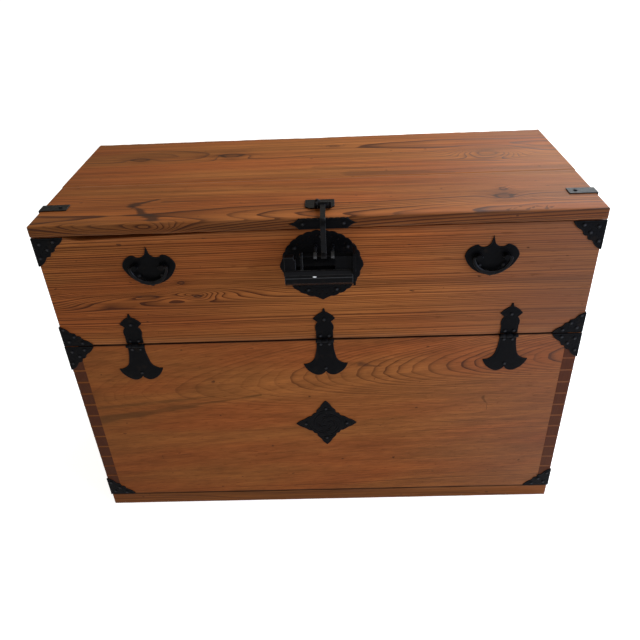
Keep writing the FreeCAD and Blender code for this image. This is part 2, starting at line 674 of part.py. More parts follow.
def build():
    """All pieces by node name."""
    parts = {}
    on_flap = Nails()
    on_front = Nails()
    on_top = Nails()
    parts["bottom_board"] = bottom_board()
    parts["lower_panel"] = lower_panel()
    parts["top_board_front"], parts["top_board_rear"] = top_boards()
    parts["back_board_lower"] = back_board(BOTTOM_T, BACK_JOINT_Z)
    parts["back_board_upper"] = back_board(BACK_JOINT_Z, CARCASS_TOP)
    parts["flap_board"] = flap_board()
    for place, x in (("left", -HINGE_X), ("middle", LOCK_X), ("right", HINGE_X)):
        parts["hinge_upper_leaf_" + place] = upper_leaf(x, on_flap)
        parts["hinge_lower_leaf_" + place] = lower_leaf(x, on_front)
        parts["hinge_pin_" + place] = hinge_pin(x)
    for side, sign in SIDES.items():
        end = sign * HALF
        flap_end = sign * FLAP_HALF
        parts["side_board_" + side] = side_board(sign)
        parts["flap_corner_" + side] = corner_plate(sign, flap_end, FLAP_TOP, -1, on_flap, FLAP_T)
        parts["seam_bracket_flap_" + side] = corner_plate(sign, flap_end, FLAP_BOTTOM, 1, on_flap, FLAP_T)
        parts["seam_bracket_panel_" + side] = corner_plate(sign, end, PANEL_TOP, -1, on_front)
        parts["foot_bracket_" + side] = corner_plate(sign, end, BOTTOM_T, 1, on_front)
        parts["top_strap_" + side] = top_strap(sign, on_top)
        handle_x = HANDLE_SHIFT + sign * HANDLE_X
        parts["handle_plate_" + side] = handle_plate(handle_x, on_flap)
        parts["handle_posts_" + side] = handle_posts(handle_x)
        parts["handle_bail_" + side] = bail(handle_x)
        parts["lock_staple_" + side] = lock_staple(HASP_X + sign * STAPLE_X)
    parts["diamond_plate"] = diamond_plate(on_front)
    parts["lock_plate"] = lock_plate(on_flap)
    parts["band_plate"] = band_plate(on_top)
    parts["hasp_plate"] = hasp_plate(on_top)
    parts["hasp_pin"] = hasp_pin()
    parts["hasp_bar"] = hasp_bar()
    for name, make in (("case", padlock_case), ("bolt", padlock_bolt), ("springs", padlock_springs)):
        parts["padlock_" + name] = make().translated(Vector(LOCK_X, 0, 0))
    fit_nails(parts, {"nails_flap": on_flap, "nails_front": on_front, "nails_top": on_top})
    fit_tangs(parts)
    return parts


def fit_nails(parts, groups):
    """Cut the nails' holes in the iron and the wood, and add each group as a node."""
    carried = {"nails_flap": ("flap", "hinge_upper", "seam_bracket_flap", "lock_plate", "handle_plate"),
               "nails_front": ("lower_panel", "side_board", "hinge_lower", "seam_bracket_panel",
                               "foot_bracket", "diamond_plate"),
               "nails_top": ("top_", "side_board", "band_plate", "hasp_plate")}
    for group, nails in groups.items():
        for name in [n for n in parts if n.startswith(carried[group])]:
            parts[name] = nails.bore(parts[name])
        parts[group] = Part.makeCompound(nails.nails)


def fit_tangs(parts):
    """Holes in the flap and its plates for the staples' and the handle posts' shanks."""
    for side, sign in SIDES.items():
        staple = rod_y(STAPLE_SHANK_R, IRON_FACE, FRONT + STAPLE_TANG, HASP_X + sign * STAPLE_X, ROD_Z)
        places = [HANDLE_SHIFT + sign * HANDLE_X + end * POST_SPAN / 2 for end in (-1, 1)]
        posts = [rod_y(STAPLE_SHANK_R, IRON_FACE, FRONT + STAPLE_TANG, x, HANDLE_Z) for x in places]
        parts["lock_plate"] = parts["lock_plate"].cut(staple)
        parts["handle_plate_" + side] = parts["handle_plate_" + side].cut(posts)
        parts["flap_board"] = parts["flap_board"].cut([staple] + posts)


def main():
    os.makedirs("parts", exist_ok=True)
    parts = build()
    faulty = [name for name, shape in parts.items() if not shape.isValid()]
    if faulty:
        raise ValueError("not valid: " + ", ".join(faulty))
    for name, shape in parts.items():
        shape.exportStep(os.path.join("parts", name + ".step"))
        print(name, len(shape.Solids), round(shape.Volume / 1000, 2))


main()
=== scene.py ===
"""Half-opening chest: worn boards, chased ironwork, nails, bails, finishes, stage and camera."""

import json
import math

import bmesh
import bpy
import numpy as np
from bpy.props import FloatProperty, FloatVectorProperty, PointerProperty
from mathutils import Euler, Matrix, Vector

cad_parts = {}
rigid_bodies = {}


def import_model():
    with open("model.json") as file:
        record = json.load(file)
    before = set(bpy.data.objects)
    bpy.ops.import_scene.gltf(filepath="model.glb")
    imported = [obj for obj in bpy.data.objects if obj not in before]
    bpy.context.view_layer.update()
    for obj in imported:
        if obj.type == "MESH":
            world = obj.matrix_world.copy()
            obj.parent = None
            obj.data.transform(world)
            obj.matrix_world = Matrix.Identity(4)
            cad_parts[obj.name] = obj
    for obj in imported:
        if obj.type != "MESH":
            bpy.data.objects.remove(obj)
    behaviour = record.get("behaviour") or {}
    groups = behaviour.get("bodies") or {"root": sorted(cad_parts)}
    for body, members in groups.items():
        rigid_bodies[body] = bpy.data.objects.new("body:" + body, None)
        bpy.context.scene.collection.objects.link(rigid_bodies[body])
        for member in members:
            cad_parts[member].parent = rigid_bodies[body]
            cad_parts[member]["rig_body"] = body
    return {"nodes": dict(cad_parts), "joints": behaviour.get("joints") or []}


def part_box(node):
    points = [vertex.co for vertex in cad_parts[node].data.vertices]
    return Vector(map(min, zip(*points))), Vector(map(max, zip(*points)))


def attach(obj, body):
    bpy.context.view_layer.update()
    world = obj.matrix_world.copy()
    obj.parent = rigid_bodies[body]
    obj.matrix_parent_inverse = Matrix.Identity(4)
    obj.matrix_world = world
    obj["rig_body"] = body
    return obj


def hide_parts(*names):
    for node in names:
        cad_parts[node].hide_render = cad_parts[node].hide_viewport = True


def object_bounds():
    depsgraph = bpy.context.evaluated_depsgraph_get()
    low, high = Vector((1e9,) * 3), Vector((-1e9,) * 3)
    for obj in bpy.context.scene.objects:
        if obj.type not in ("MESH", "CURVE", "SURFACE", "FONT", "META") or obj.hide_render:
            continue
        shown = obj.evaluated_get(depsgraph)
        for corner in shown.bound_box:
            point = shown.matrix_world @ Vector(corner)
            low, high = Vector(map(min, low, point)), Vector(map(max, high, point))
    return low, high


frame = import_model()
CAD_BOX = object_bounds()

bl_info = {
    "name": "Half-opening chest",
    "version": (1, 0, 0),
    "blender": (4, 5, 0),
    "location": "3D View > Sidebar > Chest",
    "description": "Worn boards, chased ironwork and a plain stage for a half-opening chest",
    "category": "Object",
}

MM = 0.001
X, Y, Z = 0, 1, 2
SIDES = ("left", "right")
PLACES = ("left", "middle", "right")
TURN = 2 * math.pi

FRONT_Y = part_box("lower_panel")[0].y
IRON_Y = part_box("diamond_plate")[0].y
IRON_T = FRONT_Y - IRON_Y
SEAM_Z = (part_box("lower_panel")[1].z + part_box("flap_board")[0].z) / 2
BASE_SEAM_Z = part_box("lower_panel")[0].z - 1.2 * MM
HALF_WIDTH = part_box("bottom_board")[1].x


# Settings


def length_setting(name, description, default, least=0.0):
    """Length that a user may change."""
    return FloatProperty(name=name, description=description, default=default, min=least, unit="LENGTH")


def strength_setting(name, description, default):
    """Strength of a light that a user may change."""
    return FloatProperty(name=name, description=description, default=default, min=0.0)


def angle_setting(name, description, degrees):
    """Angle that a user may change."""
    return FloatProperty(name=name, description=description, default=math.radians(degrees), unit="ROTATION")


def tint_setting(name, description, default):
    """Colour that a user may change."""
    return FloatVectorProperty(
        name=name, description=description, default=default, min=0.0, max=1.0, subtype="COLOR")


class BoardSettings(bpy.types.PropertyGroup):
    """Sizes of the boards' worn edges and colours of the wood."""

    edge_ease: length_setting("Edge ease", "Radius of a worn outer edge", 3.2 * MM)
    joint_ease: length_setting("Joint ease", "Radius of an edge that meets another board", 0.9 * MM)
    planing: length_setting("Planing", "Depth of the hollows left by hand planing", 0.25 * MM)
    ring_step: length_setting("Ring step", "Mean distance between growth rings", 5.4 * MM, MM)
    early_wood: tint_setting("Early wood", "Pale wood between the rings", (0.388, 0.130, 0.030))
    ruddy_wood: tint_setting("Ruddy wood", "Redder patches of the pale wood", (0.374, 0.102, 0.023))
    # Painted sheen: this grey tint, laid towards the right end, stands in for the sheen of light from the
    # right, not for greying by daylight.
    sheen_grey: tint_setting("Grey wood", "Wood greyed by daylight at the right end", (0.150, 0.076, 0.053))
    late_wood: tint_setting("Late wood", "Dark wood of the rings", (0.094, 0.024, 0.005))
    end_grain: tint_setting("End grain", "Oil-soaked end grain", (0.058, 0.0150, 0.0062))
    knot: tint_setting("Knot", "Heart of a knot", (0.036, 0.015, 0.008))
    # Painted shade: this tint lies in a band along each seam of the front and stands in for the shade in the
    # joints, rather than soot and wax.
    seam_shade: tint_setting("Dirt", "Soot and wax in the seams of the front", (0.010, 0.0035, 0.0015))
    # Pale edges: partly wood rubbed by use, partly a painted highlight along the arrises.
    worn: tint_setting("Worn edge", "Wood rubbed pale along the edges", (0.36, 0.145, 0.055))


class IronSettings(bpy.types.PropertyGroup):
    """Sizes of the ironwork's relief and colours of the iron."""

    bevel: length_setting("Bevel", "Filed bevel along the rim of a plate", 0.5 * MM)
    groove: length_setting("Groove", "Depth of a chased line", 0.35 * MM)
    pierce: length_setting("Pierce", "Depth of a punched opening", 1.3 * MM)
    nail_facet: FloatProperty(
        name="Nail facet", description="Share by which the hammer flattened a nail head's sides",
        default=0.05, min=0.0, max=0.3)
    bail_swell: length_setting("Bail swell", "Half width of a bail at its lowest point", 3.7 * MM)
    black: tint_setting("Blackened iron", "Oiled black skin of the iron", (0.0034, 0.0034, 0.0038))
    rust: tint_setting("Rust", "Brown patches of the skin", (0.013, 0.009, 0.007))
    rubbed: tint_setting("Rubbed iron", "Iron where the skin is rubbed", (0.022, 0.022, 0.023))
    # Painted highlight: this pale tint on rims, arrises, nail tops and the bails' line is partly polished
    # metal, partly painted highlight.
    bright: tint_setting("Bright iron", "Iron polished by hands along edges", (0.075, 0.075, 0.078))
    # Painted shade: the opening tint is far darker than the wood; it stands for the wood seen through a hole
    # together with the shade inside it.
    opening: tint_setting("Opening", "Wood seen through a pierced opening", (0.022, 0.010, 0.006))
    spring: tint_setting("Spring steel", "Bare steel of the lock's springs", (0.42, 0.43, 0.45))
    spring_line: tint_setting("Spring line", "Darker lines along the springs", (0.30, 0.31, 0.33))


class StageSettings(bpy.types.PropertyGroup):
    """Camera, floor and lights."""

    eye: FloatVectorProperty(
        name="Eye", description="Place of the camera", default=(0.030, -1.102, 1.048), unit="LENGTH")
    azimuth: angle_setting("Azimuth", "Turn of the view to the left", 1.854)
    dip: angle_setting("Dip", "How far the view looks down", 33.43)
    roll: angle_setting("Roll", "Tilt of the picture", -2.66)
    lens: FloatProperty(
        name="Lens", description="Focal length in millimetres on a 36 mm sensor", default=35.78, min=1.0)
    floor: tint_setting("Floor", "Colour of the floor", (0.80, 0.80, 0.79))
    key_power: strength_setting("Key light", "Power of the large lamp above the right front", 31.0)
    fill_power: strength_setting("Fill light", "Power of the lamp at the left front", 1.0)
    window_power: strength_setting("Window light", "Power of the lamp above the right end", 29.0)
    far_power: strength_setting("Far window", "Power of the lamp behind the right end", 18.0)
    glow: strength_setting("Glow", "White that the floor adds to the eye", 0.82)
    sky: strength_setting("Sky", "Strength of the even light from all round", 0.345)


# Arrays and meshes


def cad_triangles(node):
    """Vertices and triangles of a node of the frame, with equal corners merged."""
    mesh = frame["nodes"][node].data
    places = np.empty(len(mesh.vertices) * 3)
    mesh.vertices.foreach_get("co", places)
    mesh.calc_loop_triangles()
    corners = np.empty(len(mesh.loop_triangles) * 3, dtype=np.int64)
    mesh.loop_triangles.foreach_get("vertices", corners)
    grid = np.round(places.reshape(-1, 3) / (0.001 * MM)).astype(np.int64)
    merged, index = np.unique(grid, axis=0, return_inverse=True)
    return merged * (0.001 * MM), index.reshape(-1)[corners].reshape(-1, 3)


def triangle_edges(triangles):
    """The three edges of every triangle, as pairs of vertex numbers."""
    return np.concatenate([triangles[:, [0, 1]], triangles[:, [1, 2]], triangles[:, [2, 0]]])


def other_axes(axis):
    """The two axes beside one."""
    return [i for i in (X, Y, Z) if i != axis]


def body_of(node):
    """Body that a node of the frame rides on."""
    return frame["nodes"][node]["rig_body"]


def new_piece(name, points, faces, body, material, replaces=(), worn=None, smooth=True):
    """Mesh object from arrays, riding on a body and standing for the nodes that it replaces."""
    mesh = bpy.data.meshes.new(name)
    mesh.from_pydata(points.reshape(-1, 3).tolist(), [], faces.tolist())
    mesh.validate()
    if smooth:
        mesh.shade_smooth()
    else:
        mesh.shade_flat()
    if worn is not None:
        mesh.attributes.new("worn", "FLOAT", "POINT").data.foreach_set("value", worn.reshape(-1))
    mesh.materials.append(material)
    piece = bpy.data.objects.new(name, mesh)
    bpy.context.scene.collection.objects.link(piece)
    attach(piece, body)
    if replaces:
        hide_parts(*replaces)
    return piece


def grid_faces(rows, columns, closed):
    """Quads of a grid of rows by columns, whose rows are closed rings where closed is true."""
    across = columns if closed else columns - 1
    row, column = np.meshgrid(np.arange(rows - 1), np.arange(across), indexing="ij")
    beside = (column + 1) % columns
    quads = np.stack([row * columns + column, row * columns + beside,
                      (row + 1) * columns + beside, (row + 1) * columns + column], axis=-1)
    return quads.reshape(-1, 4)


def wave_noise(a, b, step, seed):
    """Smooth noise from -1 to 1: the mean of five sines of turned directions and uneven phases."""
    draw = np.random.default_rng(seed)
    turns, phases, sizes = (draw.uniform(low, high, 5) for low, high in ((0, TURN), (0, TURN), (0.6, 1.5)))
    total = np.zeros(np.broadcast(a, b).shape)
    for turn, phase, size in zip(turns, phases, sizes):
        total += np.sin((a * math.cos(turn) + b * math.sin(turn)) * TURN / (step * size) + phase)
    return total / 5


def step_up(value, low, high):
    """Smooth step from 0 at low to 1 at high."""
    share = np.clip((value - low) / (high - low), 0, 1)
    return share * share * (3 - 2 * share)


# Materials

MID_GREY = (0.5, 0.5, 0.5)
LATE_STOPS = ((0.0, 0.02), (0.5, 0.08), (0.78, 0.42), (0.91, 1.0), (0.97, 0.9), (1.0, 0.02))


class Shader:
    """A material's node tree, built from left to right."""

    def __init__(self, name):
        self.material = bpy.data.materials.new(name)
        self.material.use_nodes = True
        self.nodes = self.material.node_tree.nodes
        self.links = self.material.node_tree.links
        self.surface = self.nodes["Principled BSDF"]

    def put(self, socket, value):
        """A link where the value is a socket, and a plain setting otherwise."""
        if isinstance(value, bpy.types.NodeSocket):
            self.links.new(value, socket)
        else:
            socket.default_value = value

    def node(self, kind, inputs=(), **settings):
        made = self.nodes.new(kind)
        for key, value in settings.items():
            setattr(made, key, value)
        for key, value in dict(inputs).items():
            self.put(made.inputs[key], value)
        return made

    def math(self, operation, a, b=0.0, c=0.0):
        return self.node("ShaderNodeMath", {0: a, 1: b, 2: c}, operation=operation).outputs[0]

    def product(self, first, *others):
        for other in others:
            first = self.math("MULTIPLY", first, other)
        return first

    def vector(self, operation, a, b=(0, 0, 0)):
        return self.node("ShaderNodeVectorMath", {0: a, 1: b}, operation=operation).outputs[0]

    def placed(self, vector, move=(0, 0, 0), turn=(0, 0, 0), scale=(1, 1, 1)):
        inputs = {"Vector": vector, "Location": move, "Rotation": turn, "Scale": scale}
        return self.node("ShaderNodeMapping", inputs).outputs[0]

    def length(self, vector):
        return self.node("ShaderNodeVectorMath", {0: vector}, operation="LENGTH").outputs["Value"]

    def from_line(self, vector, start, end):
        """Distance from the line between two points, and the share of the way along it."""
        span = np.subtract(end, start)
        reach = self.vector("SUBTRACT", vector, start)
        scaled = {0: reach, 1: tuple(span / (span @ span))}
        along = self.node("ShaderNodeVectorMath", scaled, operation="DOT_PRODUCT").outputs["Value"]
        along = self.node("ShaderNodeClamp", {0: along}).outputs[0]
        spot = self.node("ShaderNodeVectorMath", {0: tuple(span), 3: along}, operation="SCALE").outputs[0]
        return self.length(self.vector("SUBTRACT", reach, spot)), along

    def noise(self, vector, scale, detail, output="Fac"):
        inputs = {"Vector": vector, "Scale": scale, "Detail": detail}
        return self.node("ShaderNodeTexNoise", inputs).outputs[output]

    def stretched(self, vector, scale, detail, output="Fac", move=(0, 0, 0)):
        """Noise with its own scale along each axis."""
        return self.noise(self.placed(vector, move, scale=scale), 1.0, detail, output)

    def span(self, value, low, high, to_low=0.0, to_high=1.0):
        inputs = {0: value, 1: low, 2: high, 3: to_low, 4: to_high}
        return self.node("ShaderNodeMapRange", inputs, interpolation_type="SMOOTHSTEP").outputs[0]

    def mix(self, share, a, b, blend="MIX"):
        made = self.node("ShaderNodeMix", data_type="RGBA", blend_type=blend)
        self.put(made.inputs[0], share)
        self.put(made.inputs[6], a if isinstance(a, bpy.types.NodeSocket) else (*a, 1.0))
        self.put(made.inputs[7], b if isinstance(b, bpy.types.NodeSocket) else (*b, 1.0))
        return made.outputs[2]

    def ramp(self, value, stops):
        made = self.node("ShaderNodeValToRGB", {0: value})
        elements = made.color_ramp.elements
        while len(elements) < len(stops):
            elements.new(0.5)
        for element, (place, grey) in zip(elements, stops):
            element.position = place
            element.color = (grey, grey, grey, 1.0)
        return made.outputs[0]

    def attribute(self, name):
        return self.node("ShaderNodeAttribute", attribute_name=name).outputs["Fac"]

    def coordinates(self):
        return self.node("ShaderNodeTexCoord").outputs["Object"]

    def bump(self, height, distance, strength):
        inputs = {"Height": height, "Distance": distance, "Strength": strength}
        self.put(self.surface.inputs["Normal"], self.node("ShaderNodeBump", inputs).outputs[0])

    def seen_directly(self):
        """One for rays from the eye and for mirrored or refracted ones, nought for the rest."""
        rays = self.node("ShaderNodeLightPath").outputs
        seen = self.math("MAXIMUM", rays["Is Camera Ray"], rays["Is Glossy Ray"])
        return self.math("MAXIMUM", seen, rays["Is Transmission Ray"])


def wood_material(name, heart, seed, bend, turn=0.0, lean=(0.0, 0.0), shade=1.0, grain=1.0, step=1.0,
                  knots=(), marks=(), fade=(1.0, 1.0), streaks=1.0, dark=1.0, grey=0.0, wander=0.0035,
                  end_at=None, edge_at=None, tongue_at=None, seams=()):
    """Board cut from a log. A ring is where the distance from the heart line, bent by slow noise and pushed
    out round each knot, is a whole number of ring steps; late wood darkens each ring's outer side. Their
    contrast runs from the fade's first value at the left end to its second at the right. A mark is a tapering
    stroke of another tint from one point to another. Painted shade lies at the heights of the seams and
    darkens the left end, and a painted grey sheen pales the right end; end_at, edge_at and tongue_at are
    where end grain, a darker front edge and the ends of the side boards begin."""
    look = bpy.context.scene.chest_boards
    tree = Shader(name)
    plain = tree.coordinates()
    at = tree.node("ShaderNodeSeparateXYZ", {0: plain}).outputs
    log = tree.placed(plain, turn=(0, math.radians(lean[0]), turn + math.radians(lean[1])))
    shifted = tree.placed(log, move=(seed * 3.7, seed * 1.3, seed * 2.1))
    slow = tree.vector("SUBTRACT", tree.stretched(shifted, (1.5, 4.5, 4.5), 1.5, "Color"), MID_GREY)
    quick = tree.vector("SUBTRACT", tree.stretched(shifted, (7, 34, 34), 2.0, "Color"), MID_GREY)
    bent = tree.vector("ADD", log, tree.vector("MULTIPLY", slow, (0, 6 * bend, 6 * bend)))
    bent = tree.vector("ADD", bent, tree.vector("MULTIPLY", quick, (0, wander, wander)))
    radius = tree.length(tree.vector("MULTIPLY", tree.vector("SUBTRACT", bent, (0, *heart)), (0, 1, 1)))
    fibre = tree.stretched(shifted, (9, 420, 420), 3.0)
    streak = tree.stretched(shifted, (2.0, 84, 84), 4.0)
    patch = tree.stretched(shifted, (2.6, 6, 6), 2.0)
    strayed = tree.vector("ADD", plain, tree.vector("MULTIPLY", quick, (0.03, 0.010, 0.010)))
    ragged = tree.span(streak, 0.3, 0.7, 0.65, 1.5)
    core, halo = 0.0, 0.0
    for place, size, push, deep, length in knots:
        away = tree.vector("DIVIDE", tree.vector("SUBTRACT", strayed, place), (length * size, size, size))
        far = tree.length(away)
        near = tree.math("EXPONENT", tree.product(far, far, -0.6))
        radius = tree.math("MULTIPLY_ADD", near, push, radius)
        rough = tree.product(far, ragged)
        outline = tree.math("ABSOLUTE", tree.math("SUBTRACT", rough, 0.5))
        core = tree.math("MAXIMUM", tree.span(outline, 0.06, 0.26, deep, 0.0), core)
        core = tree.math("MAXIMUM", tree.span(rough, 0.3, 0.6, 0.4 * deep, 0.0), core)
        halo = tree.math("MAXIMUM", tree.span(rough, 0.3, 2.4, 0.42 * deep, 0.0), halo)
    uneven = tree.node("ShaderNodeTexNoise", {"W": radius, "Scale": 46.0, "Detail": 1.0},
                       noise_dimensions="1D").outputs["Fac"]
    count = tree.math("ADD", tree.math("DIVIDE", radius, look.ring_step * step), tree.product(uneven, 3.2))
    own = tree.node("ShaderNodeTexWhiteNoise", {"W": tree.math("FLOOR", count)},
                    noise_dimensions="1D").outputs["Value"]
    late = tree.product(tree.ramp(tree.math("FRACT", count), LATE_STOPS),
                        tree.math("MULTIPLY_ADD", own, 0.7 * grain, 0.3 * grain),
                        tree.span(patch, 0.3, 0.7, 0.7, 1.15),
                        tree.span(at[X], -HALF_WIDTH, HALF_WIDTH, *fade))
    # Painted shade: the last factor darkens the wood towards the left end, away from the light at the right.
    tone = tree.product(tree.span(fibre, 0.3, 0.7, 0.84, 1.09),
                        tree.span(streak, 0.28, 0.72, 1 - 0.26 * streaks, 1 + 0.15 * streaks),
                        tree.span(patch, 0.3, 0.7, 0.88 * shade, 1.08 * shade),
                        tree.span(at[X], -HALF_WIDTH, -0.2 * HALF_WIDTH, dark, 1.0))
    if edge_at is not None:
        late = tree.product(late, tree.span(at[Y], edge_at, edge_at + 2 * MM, 2.4, 1.0))
        tone = tree.product(tone, tree.span(at[Y], edge_at, edge_at + 2 * MM, 0.62, 1.0))
    ruddy = tree.span(tree.stretched(shifted, (2.2, 13, 13), 3.0, move=(5, 0, 0)), 0.36, 0.66)
    colour = tree.mix(late, tree.mix(ruddy, look.early_wood, look.ruddy_wood), look.late_wood)
    tone = tree.node("ShaderNodeCombineColor", {0: tone, 1: tone, 2: tone}).outputs[0]
    colour = tree.mix(1.0, colour, tone, "MULTIPLY")
    # Painted sheen: the wood turns greyer towards the right end, as light from the right would make it look.
    colour = tree.mix(tree.span(at[X], 0.2 * HALF_WIDTH, HALF_WIDTH, 0.0, grey), colour, look.sheen_grey)
    specks = tree.stretched(shifted, (60, 140, 140), 1.0, move=(2, 3, 1))
    colour = tree.mix(tree.span(specks, 0.755, 0.80, 0.0, 0.7), colour, look.knot)
    pores = tree.stretched(shifted, (34, 620, 620), 1.0)
    colour = tree.mix(tree.span(pores, 0.64, 0.76, 0.0, 0.5), colour, look.late_wood)
    for start, end, width, tint, share in marks:
        far, along = tree.from_line(strayed, start, end)
        taper = tree.math("MULTIPLY_ADD", along, -0.75 * width, width)
        reach = tree.math("DIVIDE", tree.product(far, ragged), taper)
        colour = tree.mix(tree.span(reach, 0.3, 1.0, share, 0.0), colour, tint)
    if knots:
        colour = tree.mix(halo, colour, look.late_wood)
        colour = tree.mix(core, colour, look.knot)
    # Painted shade: a band at each seam height takes the seam tint, where shade falls in the joint.
    for seam in seams:
        from_seam = tree.math("ABSOLUTE", tree.math("SUBTRACT", at[Z], seam))
        colour = tree.mix(tree.span(from_seam, 1.4 * MM, 2.8 * MM, 0.9, 0.0), colour, look.seam_shade)
    if end_at is not None:
        cut_end = tree.span(at[Y], end_at, end_at + 0.4 * MM, 0.9, 0.0)
        colour = tree.mix(cut_end, colour, look.end_grain)
    if tongue_at is not None:
        tongue = tree.span(tree.math("ABSOLUTE", at[X]), tongue_at, tongue_at + 0.5 * MM, 0.0, 0.28)
        colour = tree.mix(tongue, colour, look.end_grain)
    # Pale edges: the wear attribute paints both rubbed wood and a highlight along the arrises.
    rubbed = tree.product(tree.attribute("worn"), tree.span(streak, 0.28, 0.6, 0.2, 0.8))
    tree.put(tree.surface.inputs["Base Color"], tree.mix(rubbed, colour, look.worn))
    tree.put(tree.surface.inputs["Roughness"], tree.span(late, 0.0, 1.0, 0.58, 0.44))
    tree.surface.inputs["Specular IOR Level"].default_value = 0.10
    tree.bump(tree.math("ADD", tree.product(late, 0.5), tree.product(fibre, 0.5)), 0.35 * MM, 0.6)
    return tree.material


def iron_material(name, gloss, rough, rubbed_all=0.0, spots=()):
    """Blackened iron: an oiled skin, hammer marks some millimetres wide, and paler metal where it is rubbed.
    Where the wear attribute is high a pale tint is painted, partly polished metal and partly painted
    highlight. A spot is an ellipsoid, given by its middle and half sizes, where another tint is painted; on
    the padlock case the spots are painted light."""
    look = bpy.context.scene.chest_iron
    tree = Shader(name)
    place = tree.coordinates()
    skin = tree.noise(place, 140.0, 4.0)
    marks = tree.noise(place, 95.0, 1.0)
    grit = tree.noise(place, 1500.0, 2.0)
    wear = tree.attribute("worn")
    rubbed = tree.product(tree.span(wear, 0.0, 1.0, rubbed_all, 1.0), tree.span(skin, 0.32, 0.62, 0.2, 1.0))
    opening = tree.span(wear, -0.9, -0.2, 1.0, 0.0)
    rust = tree.span(tree.noise(place, 60.0, 3.0), 0.56, 0.74, 0.0, 0.55)
    colour = tree.mix(rust, look.black, look.rust)
    colour = tree.mix(rubbed, colour, look.rubbed)
    # Painted highlight: where the wear value is high (rims, arrises, nail tops, the bails' line) a pale tint
    # is painted, partly polish and partly highlight.
    colour = tree.mix(tree.span(wear, 0.7, 1.0, 0.0, 0.8), colour, look.bright)
    # Painted shade: openings take a dark brown tint, wood darkened as if in shade.
    colour = tree.mix(opening, colour, look.opening)
    for middle, half, tint, share in spots:
        away = tree.vector("DIVIDE", tree.vector("SUBTRACT", place, middle), half)
        colour = tree.mix(tree.span(tree.length(away), 0.6, 1.0, share, 0.0), colour, tint)
    tree.put(tree.surface.inputs["Base Color"], colour)
    tree.put(tree.surface.inputs["Metallic"], tree.math("MULTIPLY_ADD", opening, -0.2, 0.2))
    tree.surface.inputs["Specular IOR Level"].default_value = gloss
    tree.put(tree.surface.inputs["Roughness"], tree.span(skin, 0.25, 0.75, rough - 0.11, rough + 0.11))
    tree.bump(tree.math("ADD", tree.product(marks, 0.8), tree.product(grit, 0.12)), 0.5 * MM, 0.55)
    return tree.material


def spring_material():
    """Bare spring steel with fine lines along the leaf."""
    tree = Shader("spring_steel")
    look = bpy.context.scene.chest_iron
    lines = tree.stretched(tree.coordinates(), (40, 2600, 2600), 2.0)
    tree.put(tree.surface.inputs["Base Color"], tree.mix(lines, look.spring_line, look.spring))
    tree.surface.inputs["Metallic"].default_value = 1.0
    tree.put(tree.surface.inputs["Roughness"], tree.span(lines, 0.3, 0.7, 0.28, 0.42))
    return tree.material


def dress(node, material, ease=0.0, edge=None):
    """One material on every face of a node of the frame, and a small bevel, in the edge material where one is
    given, along its sharp edges once equal corners are welded."""
    piece = frame["nodes"][node]
    piece.data.materials.clear()
    piece.data.materials.append(material)
    if edge:
        piece.data.materials.append(edge)
    if ease:
        piece.modifiers.new("weld", "WELD").merge_threshold = 0.01 * MM
        bevel = piece.modifiers.new("ease", "BEVEL")
        bevel.width = ease
        bevel.segments = 2
        bevel.limit_method = "ANGLE"
        bevel.angle_limit = math.radians(40)
        bevel.material = 1 if edge else -1


# Boards

BOARD_ROWS, BOARD_WIDE, BOARD_HIGH = 180, 43, 15
CAP_SHARES = (0.3, 0.7, 1.0)
SAG_FROM, SAG_TO = 34 * MM, 80 * MM
GROOVE_TO, GROOVE_END = 10 * MM, 16 * MM


